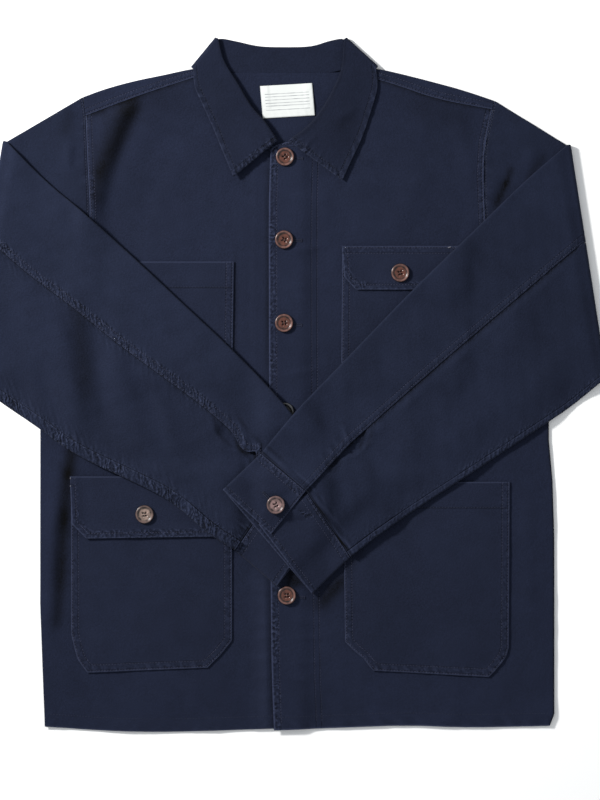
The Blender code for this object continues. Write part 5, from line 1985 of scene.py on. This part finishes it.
SLEEVE_LEFT = SleeveCut(
    "sleeve_left", Side.LEFT, ARMHOLE_LEFT, SHOULDER_POINT_LEFT,
    upper_edge=[(314, 263), (266, 226), (221, 182), (143, 107), (88, 50), (38, -2), (9, -32),
                (-26, -75)],
    lower_edge=[(354, 5), (314, -25), (288, -42), (227, -83), (123, -150), (72, -189)],
    seam_start=0.417, seam_turn=0.41, seam_end=0.46, inset=6.5,
    arm_creases=creases_of(
        (249, 238, 243, 220, -0.6, 3.4, 0, 0, 2.6), (243, 222, 232, 196, -1, 4.2, 0, 0, 3.2),
        (232, 234, 226, 207, 0.8, 6), (286, 252, 268, 228, -0.8, 4.2, 0, 0, 1.7),
        (274, 256, 256, 230, 1.2, 7)),
    forearm_creases=creases_of(
        (57, -80, 49, -93, 0, 6.5, 0, 0, 1.8), (96, -50, 86, -70, 0.9, 4, 0, 0.2),
        (86, -54, 80, -72, 0.7, 3), (87, -53, 82, -71, 0, 2.6, 0, 0, 1.7),
        (96, -50, 90, -68, 0, 2.6, 0, 0, 1.4), (150, 10, 128, -96, 1.6, 20),
        (262, 96, 226, 30, 1.6, 20), (200, 40, 170, -40, 1, 14)),
    back_pucker=Pucker(0.0, 7.0, 0.16, 8.0, 9.0, -0.6, 91),
    under_pucker=Pucker(0.0, 7.0, 0.26, 10.0, 8.0, -0.8, 92),
    drag=0.15, vent_bulge=0.0, vent_shade=0.8, seam_shade=3.0, recipe=LEFT_SLEEVE_TWILL,
    seed=93)


class Stretch(Enum):
    """Stretches of a sleeve, from the shoulder to the cuff."""

    ARM = 0
    BEND = 1
    FOREARM = 2


@dataclass
class Sleeve:
    """Flattened sleeve: along the arm, round its fold, and back over the front to the cuff."""
    shop: Workshop
    cut: SleeveCut
    cuff: CuffCut
    arm_length: float = 70.0
    forearm_length: float = 430.0
    arm_cells: int = 26
    bend_cells: int = 10
    forearm_cells: int = 142
    wall_cells: int = 96
    upper_cells: int = 38
    under_cells: int = 40
    inset_cells: int = 4
    roll_steps: int = 8
    vent_raise: float = CUFF_CLOTH + GAP + 0.8
    vent_tuck: float = 9.0
    vent_length: float = 92.0
    drop_length: float = 70.0
    notch_length: float = 70.0
    seam_turns_at: float = 0.8

    def lay_out(self) -> None:
        """Settle the plan of the sleeve and the levels of its forearm."""
        cut = self.cut
        outward = cut.side.value
        hole = at_shares(eased(cut.armhole[::-1]), np.linspace(0.0, 1.0, 61))
        self.hole = np.concatenate([[cut.shoulder_point], hole]) + [outward * SEAM, 0.0]
        self.hole_places = np.concatenate([[0.0], np.linspace(1 / 13, 1.0, 61)])
        upper = np.array(cut.upper_edge, dtype=float)
        lower = np.array(cut.lower_edge, dtype=float)
        upper[0, 0] -= outward * SLEEVE_AXIS
        lower[0, 0] -= outward * SLEEVE_AXIS
        self.fold = np.array([upper[0], lower[0]])
        run = unit(self.fold[1] - self.fold[0])
        self.turn_to = np.array([-run[1], run[0]]) * outward
        self.shares = sewn_shares(self.forearm_length, self.forearm_cells, False)
        self.upper = at_shares(eased(upper), self.shares)
        self.lower = at_shares(eased(lower), self.shares)
        self.left = np.linalg.norm(self.upper[-1] - self.upper, axis=1)

        self.places = np.linspace(0.0, 1.0, 60)
        arm = np.array([self.arm_plan(along, self.places)
                        for along in np.linspace(0.0, 1.0, 30)])
        self.shop.bed.lay(raised(arm, STACK + np.maximum(creased(arm, cut.arm_creases), 0.0)))
        across = self.places[None, :, None]
        plan = self.upper[:, None] * (1 - across) + self.lower[:, None] * across
        beds = self.shop.bed.under(plan, 12.0) + GAP
        gone = self.shares * length_of(self.upper)
        start = 2 * SLEEVE_AXIS - STACK
        self.level = beds + (start - beds[:1]) * (1 - smooth(gone / self.drop_length))[:, None]

    def arm_plan(self, along: float, share: Array) -> Array:
        """Plan points of the upper arm.

        Args:
            along: Share of its length.
            share: Shares of its width.

        Returns:
            A point for each share of the width.
        """
        start = np.stack([np.interp(share, self.hole_places, self.hole[:, axis])
                          for axis in (0, 1)], axis=-1)
        end = self.fold[0] + (self.fold[1] - self.fold[0]) * share[..., None]
        return start + (end - start) * along

    def seam_share(self, along: float) -> float:
        """Place of the back seam across the sleeve: its course, then its turn to the cuff.

        Args:
            along: Share of the forearm's length.

        Returns:
            Share of the width.
        """
        cut = self.cut
        course = cut.seam_start + (cut.seam_turn - cut.seam_start) * min(
            1.0, along / self.seam_turns_at)
        turned = smooth((along - self.seam_turns_at) / (1.0 - self.seam_turns_at))
        return course + (cut.seam_end - cut.seam_turn) * turned

    def bulged(self, left: Array | float) -> Array | float:
        """How far the vent's lap lies beyond the seam, at a length left to the cuff."""
        return self.cut.vent_bulge * (0.55 * bell((left - 81.0) / 12.0)
                                      - 1.05 * bell((left - 60.0) / 6.5))

    def roll(self, width: float, height: float, at_upper: bool) -> Array:
        """Half roll at an edge of a section.

        Args:
            width: Width of the sleeve.
            height: Height of the flattened tube.
            at_upper: Whether it is at the upper edge.

        Returns:
            Its (share, height) on both sides of the wall.
        """
        turn = np.linspace(0.0, math.pi, self.roll_steps + 1)
        sides = []
        for size in (height / 2, height / 2 - CLOTH):
            share = (height / 2 - size * np.sin(turn)) / width
            level = height / 2 + size * np.cos(turn)
            if not at_upper:
                share = 1.0 - share
                level = height - level
            sides.append(np.stack([share, level], axis=-1))
        return np.array(sides)

    def flat(self, shares: Array, height: float, far: float) -> Array:
        """Flat stretch of a section, as (share, height) on both sides of the wall."""
        return np.array([np.stack([shares, np.full(len(shares), level)], axis=-1)
                         for level in (height, far)])

    def top_ring(self, width: float, height: float, seam: float) -> Array:
        """Section of the top sleeve, from the underarm seam round to the back seam.

        Args:
            width: Width of the sleeve.
            height: Height of the flattened tube.
            seam: Share of the width at the back seam.

        Returns:
            Its (share, height) on both sides of the wall.
        """
        edge = height / 2 / width
        start = 1.0 - self.cut.inset / width
        inset = start + (1 - edge - start) * sewn_shares(
            self.cut.inset - height / 2, self.inset_cells, True, False)[:-1]
        wall = np.linspace(1.0 - edge, edge, self.wall_cells + 1)[1:-1]
        visible = edge + (seam - edge) * sewn_shares(
            (seam - edge) * width, self.upper_cells, False)[1:]
        return np.concatenate([
            self.flat(inset, 0.0, CLOTH), self.roll(width, height, False),
            self.flat(wall, height, height - CLOTH), self.roll(width, height, True),
            self.flat(visible, 0.0, CLOTH)], axis=1)

    def under_ring(self, width: float, seam: float, tuck: float) -> Array:
        """Section of the under sleeve, from the back seam to the underarm seam.

        Args:
            width: Width of the sleeve.
            seam: Share of the width at the back seam.
            tuck: Share of the width that lies tucked below the top sleeve.

        Returns:
            Its (share, height) on both sides of the wall.
        """
        gap = SEAM / width
        start = seam + gap - tuck
        end = 1.0 - self.cut.inset / width - gap
        shares = start + (end - start) * sewn_shares((end - start) * width, self.under_cells)
        return self.flat(shares, 0.0, CLOTH)

    def forearm(self, station: int, ring: Array, seam: float, lap: bool) -> Array:
        """Points of one side of a forearm section.

        Args:
            station: Number of the section.
            ring: Its (share, height).
            seam: Share of the width at the back seam.
            lap: Whether it is of the top sleeve, which laps over the vent.

        Returns:
            Its points.
        """
        share, height = ring[:, 0], ring[:, 1]
        full = self.height(station)
        start, end = self.upper[station], self.lower[station]
        facing = facing_up(height / full)
        notch_at = self.cut.seam_end
        tent = np.where(share < notch_at, share / notch_at, (1 - share) / (1 - notch_at))
        first, last = self.upper[-1], self.lower[-1]
        notch = self.cuff.lap[0] - (first + (last - first) * notch_at)
        gone = np.linalg.norm((first - start) * (1 - share[:, None])
                              + (last - end) * share[:, None], axis=1)
        pull = smooth(1 - gone / self.notch_length) * tent * facing
        plan = start + (end - start) * share[:, None] + notch * pull[:, None]
        level = np.interp(share, self.places, self.level[station]) + full - height
        if lap:
            lapped = smooth((share - seam) / 0.2 + 1.1)
            opened = smooth((self.vent_length + 18.0 - self.left[station]) / 25.0)
            level = level + opened * self.vent_raise * lapped * (height < full / 2)
        return raised(plan, level)

    def height(self, station: int) -> float:
        """Height of the flattened tube at a forearm station."""
        return STACK + (FOREARM_HEIGHT - STACK) * float(smooth(self.shares[station] * 4))

    def laid(self, stretch: Stretch, place: float, ring: Array, seam: float, lap: bool) -> Array:
        """Points of one side of a section.

        Args:
            stretch: Stretch of the sleeve that it is in.
            place: Share of the arm, degrees of the bend, or number of the forearm section.
            ring: Its (share, height).
            seam: Share of the width at the back seam.
            lap: Whether it is of the top sleeve.

        Returns:
            Its points.
        """
        if stretch is Stretch.ARM:
            return raised(self.arm_plan(place, ring[:, 0]), ring[:, 1])
        if stretch is Stretch.FOREARM:
            return self.forearm(place, ring, seam, lap)
        reach = SLEEVE_AXIS - ring[:, 1]
        swing = math.radians(place)
        plan = self.fold[0] + (self.fold[1] - self.fold[0]) * ring[:, :1]
        plan = plan + self.turn_to * reach[:, None] * math.sin(swing)
        return raised(plan, SLEEVE_AXIS - reach * math.cos(swing))

    def walls(self, top_piece: bool) -> dict[str, Array]:
        """Both sides of one cut piece of the sleeve, and its distances.

        Args:
            top_piece: Whether it is the top sleeve.

        Returns:
            Arrays by name: near and far points, how far each faces up, arc (its place across
            the piece), walked (its place along the sleeve), its distance from the cuff, the
            length left to the cuff, and whether it is in the arm or the forearm.
        """
        stations = [(Stretch.ARM, along)
                    for along in sewn_shares(self.arm_length, self.arm_cells, True, False)]
        stations += [(Stretch.BEND, 180.0 * step / self.bend_cells)
                     for step in range(1, self.bend_cells)]
        stations += [(Stretch.FOREARM, station) for station in range(len(self.shares))]
        grids: dict[str, list[Array]] = {key: [] for key in (
            "near", "far", "facing", "arc", "walked", "left", "is_arm", "is_fore")}
        arm_length = float(np.linalg.norm(self.fold.mean(axis=0) - self.hole.mean(axis=0)))
        fore_length = length_of((self.upper + self.lower) / 2)
        for stretch, place in stations:
            station = place if stretch is Stretch.FOREARM else 0
            left = self.left[station] if stretch is Stretch.FOREARM else FAR_OFF
            height = self.height(station)
            seam = self.seam_share(self.shares[station])
            width = float(np.linalg.norm(self.lower[station] - self.upper[station]))
            if top_piece:
                ring = self.top_ring(width, height, seam + self.bulged(left) / width)
            else:
                tuck = smooth((self.vent_length - left) / 20.0)
                ring = self.under_ring(width, seam, tuck * self.vent_tuck / width)
            up = facing_up(ring[0][:, 1] / height)
            gone = self.shares[station] * fore_length
            facing, walk = {
                Stretch.ARM: ((1 - up) * smooth((1.05 - place) / 0.15), place * arm_length),
                Stretch.BEND: (up * 0.0, arm_length + place / 180.0 * 10.0),
                Stretch.FOREARM: (up * smooth(gone / 15.0), arm_length + 10.0 + gone),
            }[stretch]
            for key, value in (
                    ("near", self.laid(stretch, place, ring[0], seam, top_piece)),
                    ("far", self.laid(stretch, place, ring[1], seam, top_piece)),
                    ("facing", facing), ("arc", walked(ring[0] * [width, 1.0])),
                    ("walked", spread(walk, up)), ("left", spread(left, up)),
                    ("is_arm", spread(stretch is Stretch.ARM, up)),
                    ("is_fore", spread(stretch is Stretch.FOREARM, up))):
                grids[key].append(value)
        found = {key: np.array(values) for key, values in grids.items()}
        found["from_cuff"] = found["walked"].max() - found["walked"]
        return found

    def make(self, top_piece: bool) -> dict[str, Array]:
        """Make one cut piece of the sleeve.

        Args:
            top_piece: Whether it is the top sleeve.

        Returns:
            Its arrays by name, with its distances from the back seam.
        """
        cut = self.cut
        grid = self.walls(top_piece)
        total = grid["arc"][:, -1:]
        from_back = total - grid["arc"] if top_piece else grid["arc"]
        from_under = grid["arc"] if top_piece else total - grid["arc"]
        plan = grid["near"][..., :2]
        walk, left, from_cuff = grid["walked"], grid["left"], grid["from_cuff"]
        rise = np.zeros(walk.shape)
        fade = np.zeros(walk.shape)
        weaker = 1.0 if top_piece else 0.45
        for pucker, away in ((cut.back_pucker, from_back), (cut.under_pucker, from_under)):
            facing = -1.0 if top_piece == (away is from_back) else 1.0
            height, crest = pucker.at(away, walk, facing)
            rise += height * weaker
            fade += crest * weaker
        if not top_piece:
            rise += 1.1 * bell((from_back - 9.0) / 6.0) * (
                0.6 + 0.4 * Waves(cut.seed + 7, 60.0).along(walk))
            drag = Waves(cut.seed + 8, 22.0, heading=0.0, count=7, spread=0.6).at(
                np.stack([walk - 0.9 * from_back, from_back], axis=-1))
            often = smooth(0.2 + 0.8 * Waves(cut.seed + 6, 95.0).along(walk))
            reach = 20.0 + 10.0 * Waves(cut.seed + 12, 70.0).along(walk)
            near_vent = bell((from_cuff - 60.0) / 45.0)
            rise += (cut.drag * (often + near_vent)) * np.maximum(drag, 0.0) * smooth(
                from_back / 6.0) * smooth((reach + 8.0 - from_back) / 18.0)
        loft = 2.4 * smooth(np.minimum(from_back + 30.0, from_under) / 45.0) * smooth(
            (from_cuff - 15.0) / 60.0)
        rise += loft * grid["is_fore"]
        end_rise, end_wear_and_shade = Pucker(0.0, 7.0, 0.5, 12.0, 9.0, 0.4, cut.seed + 2).at(
            from_cuff, plan @ np.array([0.7, 0.7]) * 1.3)
        hole_rise, hole_wear_and_shade = Pucker(0.2, 6.0, 0.14, 8.0, 12.0, 0.4, cut.seed + 3).at(
            walk, plan[..., 1])
        rise += end_rise + hole_rise
        fade += end_wear_and_shade + hole_wear_and_shade
        # Painted shade along the seam to the cuff, darker on the under piece.
        fade -= (0.8 if top_piece else 2.2) * bell(from_cuff / 2.0)
        rise += 0.6 * Waves(cut.seed + 4, 78.0).at(plan)
        rise += 0.22 * Waves(cut.seed + 5, 26.0).at(plan)
        # Creases raise the cloth and paint their shade.
        for creases, where in ((cut.forearm_creases, grid["is_fore"]),
                               (cut.arm_creases, grid["is_arm"])):
            rise += creased(plan, creases) * where
            fade -= creased(plan, creases, "shade") * where
        if top_piece:
            rise += 0.9 * smooth((9.0 - from_back) / 2.0)
            # The crushed vent: crests worn lighter and troughs painted in shade.
            vent = np.exp(-((left - 80.0) / 30.0) ** 2 - (from_back / 15.0) ** 2)
            crushed = np.maximum(Waves(cut.seed + 9, 9.0, 0.5, 9, 0.6).at(plan), -0.7)
            rise += 1.6 * vent * crushed
            fade += 0.9 * vent * crushed
        else:
            vent_at = self.vent_tuck * smooth((self.vent_length - left) / 20.0) + self.bulged(left)
            # Painted shade in the hollow beside the vent's lap and along the back seam.
            fade -= cut.vent_shade * bell((from_back - vent_at - 1.5) / 2.6) * smooth(
                (self.vent_length + 8.0 - left) / 20.0)
            fade -= cut.seam_shade * bell(from_back / 2.3)
        rise = np.maximum(rise, -0.15) * grid["facing"]
        if not top_piece:
            covered = smooth((14.0 - from_back) / 3.0) * smooth(
                (self.vent_length + 15.0 - from_cuff) / 15.0)
            rise = np.where(covered > 0, np.minimum(rise, rise * (1 - covered) + 0.2), rise)
            rise *= smooth((from_cuff - 2.0) / 20.0)
        for side in ("near", "far"):
            grid[side][..., 2] += rise
        edge = np.minimum.reduce([from_back, from_under, walk, from_cuff])
        skin = make_skin(np.stack([grid["arc"], walk], axis=-1), fade * grid["facing"],
                         from_back, from_under, np.minimum(walk, from_cuff))
        suffix, recipe = ("_top", cut.recipe) if top_piece else ("_under", UNDER_TWILL)
        grid["near"], _ = self.shop.cloth(cut.name + suffix, (grid["near"], grid["far"]), edge,
                                          skin, recipe, "navy_twill_sleeve")
        grid["from_back"] = from_back
        return grid

    def build(self) -> None:
        """Make the whole sleeve with its cuff, and lay it on the bed."""
        self.lay_out()
        top = self.make(True)
        under = self.make(False)
        Cuff(self.shop, self.cuff, self.cut.seed + 10).build(self.level[-1])
        first = len(top["near"]) - len(self.shares)
        self.shop.bed.lay(top["near"][first:])
        self.shop.bed.lay(under["near"][first:])
        sewing = self.shop.sewing
        sewing.seam(Thread.SEAMS, top["near"][first:], top["from_back"][first:], SEAM_ROWS,
                    (6, 14), True)
        arm = self.arm_cells
        columns = slice(self.inset_cells + self.roll_steps + 4, -self.upper_cells)
        sewing.seam(Thread.SEAMS, top["near"][:arm, columns], top["walked"][:arm, columns],
                    CLOSE_ROW, (3, 3), down=True)


@dataclass
class Button:
    """Turned button with a raised rim, a dished face and four holes."""

    shop: Workshop
    name: str
    x: float
    y: float
    recipe: Resin = BROWN_BUTTON
    turn: float = 0.2
    radius: float = 10.2
    height: float = 3.0
    rim: float = 2.3
    dish: float = 1.25
    sides: int = 40
    hole: float = 0.9
    spacing: float = 2.1

    def build(self) -> None:
        """Make the button with its thread, seated on the cloth."""
        low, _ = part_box(self.name)
        seat = max(low.z / MM, self.shop.bed.highest(self.x, self.y, self.radius) + 0.1)
        bm = bmesh.new()
        inner = self.radius - self.rim
        profile = [(0.0, 0.0), (self.radius - 1.6, 0.0), (self.radius - 0.6, 0.4),
                   (self.radius, 1.3), (self.radius - 0.1, 2.0), (self.radius - 0.4, 2.6),
                   (self.radius - 0.9, 2.95), (self.radius - 1.3, self.height),
                   (inner + 0.4, self.height - 0.1), (inner, self.height - 0.4),
                   (inner - 0.4, self.height - 0.95), (inner - 1.2, self.height - self.dish),
                   (inner - 3.0, self.height - self.dish - 0.1),
                   (0.0, self.height - self.dish - 0.1)]
        verts = [bm.verts.new((x, 0.0, z)) for x, z in profile]
        edges = [bm.edges.new(pair) for pair in zip(verts, verts[1:])]
        bmesh.ops.spin(bm, geom=verts + edges, cent=(0, 0, 0), axis=(0, 0, 1),
                       angle=2 * math.pi, steps=self.sides, use_merge=True)
        bmesh.ops.remove_doubles(bm, verts=bm.verts[:], dist=0.01)
        bmesh.ops.recalc_face_normals(bm, faces=bm.faces[:])
        bmesh.ops.rotate(bm, cent=(0, 0, 0), verts=bm.verts[:],
                         matrix=Matrix.Rotation(self.turn, 3, "Z"))
        bmesh.ops.translate(bm, vec=(self.x, self.y, seat), verts=bm.verts[:])
        button = finish(self.name + "_turned", bm, self.shop.look(self.recipe))
        self.drill(button, seat)
        ring = button.data.attributes.new("ring", "FLOAT", "POINT")
        for vert, value in zip(button.data.vertices, ring.data):
            value.value = math.hypot(vert.co.x / MM - self.x, vert.co.y / MM - self.y
                                     ) / self.radius
        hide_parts(self.name)
        self.thread(seat + self.height - self.dish)
        reach = np.linspace(-self.radius, self.radius, 5)
        self.shop.bed.lay(np.array([[(self.x + x, self.y + y, seat + self.height)
                                     for x in reach] for y in reach]))
        LOG.info("%s: %d faces", self.name, len(button.data.polygons))

    def holes(self) -> list[Array]:
        """Plan points of the four holes.

        Returns:
            The points, one after another round the button.
        """
        angles = [self.turn + math.pi / 4 + step * math.pi / 2 for step in range(4)]
        return [np.array([self.x + self.spacing * math.cos(angle),
                          self.y + self.spacing * math.sin(angle)]) for angle in angles]

    def drill(self, button: bpy.types.Object, seat: float) -> None:
        """Cut the four holes.

        Args:
            button: The turned button.
            seat: Level that it sits on.
        """
        bm = bmesh.new()
        for spot in self.holes():
            made = bmesh.ops.create_cone(bm, cap_ends=True, segments=12, radius1=self.hole,
                                         radius2=self.hole, depth=self.height * 3)
            bmesh.ops.translate(bm, vec=(spot[0], spot[1], seat + 1.0), verts=made["verts"])
        cutter = placed("drill", bm)
        drill = button.modifiers.new("holes", "BOOLEAN")
        drill.operation = "DIFFERENCE"
        drill.solver = "EXACT"
        drill.object = cutter
        settle(button)
        bpy.data.objects.remove(cutter, do_unlink=True)

    def thread(self, face: float) -> None:
        """Sew the button on: two bars of thread across its face.

        Args:
            face: Level of its dished middle.
        """
        spots = self.holes()
        for first, last in ((spots[0], spots[1]), (spots[3], spots[2])):
            middle = (first + last) / 2
            along = (last - first) / 2 * 1.1
            side = np.array([-along[1], along[0]]) / np.linalg.norm(along) * 0.28
            for shift in (-1, 1):
                place = middle + side * shift
                self.shop.sewing.stitch(Thread.BUTTONS, np.array([*place, face + 0.2]),
                                        np.array([*along, 0.0]), 0.55)


@dataclass
class Studio:
    """Pale floor, a window's light from the upper left and the camera straight above."""

    def build(self) -> None:
        """Make the floor, the lights and the camera."""
        bm = bmesh.new()
        bmesh.ops.create_grid(bm, x_segments=1, y_segments=1, size=3000.0)
        bmesh.ops.translate(bm, vec=(0, 0, -0.1), verts=bm.verts[:])
        floor = placed("floor", bm)
        floor.data.materials.append(FLOOR_WHITE.build())

        scene = bpy.context.scene
        scene.view_settings.view_transform = "Standard"
        world = bpy.data.worlds.new("studio")
        world.use_nodes = True
        back = world.node_tree.nodes["Background"]
        back.inputs["Color"].default_value = (0.94, 0.97, 1.0, 1.0)
        back.inputs["Strength"].default_value = 0.62
        scene.world = world
        window = bpy.data.lights.new("window", "AREA")
        window.shape = "DISK"
        window.size = 0.38
        window.energy = 16.8
        window.spread = math.radians(80.0)
        window.color = (1.0, 0.985, 0.96)
        lamp = bpy.data.objects.new("window", window)
        lamp.location = (-1.68, 1.00, 1.32)
        aim = Vector((-0.06, 0.13, 0.0)) - lamp.location
        lamp.rotation_euler = aim.to_track_quat("-Z", "Y").to_euler()
        scene.collection.objects.link(lamp)

        camera = bpy.data.cameras.new("camera")
        camera.lens = 135.0
        camera.sensor_width = 36.0
        camera.clip_end = 20.0
        eye = bpy.data.objects.new("camera", camera)
        eye.location = (0.0165, -0.01705, 3.3)
        scene.collection.objects.link(eye)
        scene.camera = eye
        scene.render.resolution_x = 600
        scene.render.resolution_y = 800


@dataclass
class Jacket:
    """The whole jacket, laid piece by piece."""

    shop: Workshop = field(default_factory=Workshop)

    def build(self) -> None:
        """Build every piece, lowest first."""
        shop = self.shop
        Collar(shop).build()
        back = BackPanel(shop)
        back.build()
        self.label()
        FrontPanel(shop, "front_right", Side.RIGHT, HEM_RIGHT, SIDE_RIGHT, ARMHOLE_RIGHT,
                   SHOULDER_SEAM_RIGHT, NECKLINE_RIGHT, FRONT_RIGHT_CREASES).build()
        FrontPanel(shop, "front_left", Side.LEFT, HEM_LEFT, SIDE_LEFT, ARMHOLE_LEFT,
                   SHOULDER_SEAM_LEFT, NECKLINE_LEFT, FRONT_LEFT_CREASES).build()
        back.lay_wraps()
        self.patches()
        self.buttons()
        Sleeve(shop, SLEEVE_RIGHT, CUFF_RIGHT).build()
        Button(shop, "button_cuff_right", 25, -126, BROWN_BUTTON, 0.5).build()
        Sleeve(shop, SLEEVE_LEFT, CUFF_LEFT).build()
        self.buttonhole(-10, -131.5, (-0.72, 0.69))
        Button(shop, "button_cuff_left", -10, -131.5, PINK_BUTTON, 0.5).build()
        for thread, recipe in ((Thread.SEAMS, NAVY_THREAD), (Thread.BUTTONS, BUTTON_THREAD),
                               (Thread.TACKS, PALE_THREAD), (Thread.DARK, DARK_THREAD)):
            shop.sewing.make(thread, shop.look(recipe))

    def tack(self, thread: Thread, x: float, y: float, run: tuple[float, float], length: float,
             width: float) -> None:
        """Sew a bar of close stitches on the cloth at a place.

        Args:
            thread: Its thread.
            x: Place of its middle.
            y: Place of its middle.
            run: Direction of the bar.
            length: Length of the bar.
            width: Width of the bar.
        """
        level = self.shop.bed.highest(x, y, 1.0) + 0.05
        self.shop.sewing.bar(thread, np.array([x, y, level]), np.array([*run, 0.0]), length, width)

    def buttonhole(self, x: float, y: float, run: tuple[float, float]) -> None:
        """Sew the end of a buttonhole that shows beside its button: two close bars.

        Args:
            x: Middle of the button.
            y: Middle of the button.
            run: Direction of the buttonhole.
        """
        along = unit(np.array(run))
        side = np.array([-along[1], along[0]])
        middle = np.array([x, y]) + along * 13.0
        for shift in (-0.95, 0.95):
            spot = middle + side * shift
            self.tack(Thread.DARK, spot[0], spot[1], (along[0], along[1]), 12.0, 1.4)
        end = middle + along * 6.6
        self.tack(Thread.DARK, end[0], end[1], (side[0], side[1]), 3.0, 1.4)

    def label(self) -> None:
        """Make the neck label."""
        Patch(self.shop, "neck_label", NECK_LABEL, LABEL_WHITE, "white_label", 1.6, LABEL_CLOTH,
              0.0, 0.1, 0.0, 0.1, 3, turn=0.058).build()

    def patches(self) -> None:
        """Make the pockets and their flaps."""
        shop = self.shop
        Patch(shop, "chest_pocket_right", CHEST_POCKET_RIGHT, POCKET_TWILL, seed=11,
              hem=28.0).build()
        Patch(shop, "chest_pocket_left", CHEST_POCKET_LEFT, POCKET_TWILL, seed=12).build()
        Patch(shop, "hip_pocket_right", HIP_POCKET_RIGHT, POCKET_TWILL, seed=13,
              pillow=0.6, dip=-2.8).build()
        # Its crease paints the shadow of the lower cuff's tip on the pocket.
        Patch(shop, "hip_pocket_left", HIP_POCKET_LEFT, POCKET_TWILL, seed=14, hem=28.0,
              pillow=0.6, dip=3.5,
              creases=creases_of((64, -206, 84, -184, 0.0, 5.0, 0.0, 0.0, 1.2))).build()
        Patch(shop, "chest_flap_left", CHEST_FLAP_LEFT, FLAP_TWILL, seed=15, lift=0.8,
              free_bottom=True).build()
        Patch(shop, "hip_flap_right", HIP_FLAP_RIGHT, HIP_FLAP_TWILL, seed=16, lift=1.2,
              pucker=0.12, free_bottom=True, plain_top=True, dip=-1.2).build()

    def buttons(self) -> None:
        """Sew on the buttons of the front and the flaps."""
        centers = [(0, 250), (-1, 159), (-1, 67.5), (0, -30), (3, -128), (2, -231.5)]
        for count, (x, y) in enumerate(centers, start=1):
            self.buttonhole(x, y - 1.5, (1.0, 0.04 * (count % 3 - 1)))
            Button(self.shop, f"button_front_{count}", x, y,
                   # The fourth button, under the sleeves, has its resin painted in shade.
                   BUTTON_IN_SHADE if count == 4 else BROWN_BUTTON, 0.2 + 0.5 * count).build()
        Button(self.shop, "button_chest_flap", 126.5, 122.5, BROWN_BUTTON, 0.3).build()
        Button(self.shop, "button_hip_flap", -154, -142.5, PALE_BUTTON, 0.1).build()
        self.tack(Thread.TACKS, -235.4, -102.8, (0.0, 1.0), 1.4, 1.4)
        self.tack(Thread.TACKS, -235.2, -111.2, (0.0, 1.0), 1.0, 1.3)
        self.tack(Thread.TACKS, 180.5, 150.5, (1.0, 0.3), 2.6, 1.6)


def main() -> None:
    """Build the jacket and the studio."""
    logging.basicConfig(level=logging.INFO, format="%(message)s")
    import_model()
    Jacket().build()
    Studio().build()


if __name__ == "__main__":
    main()
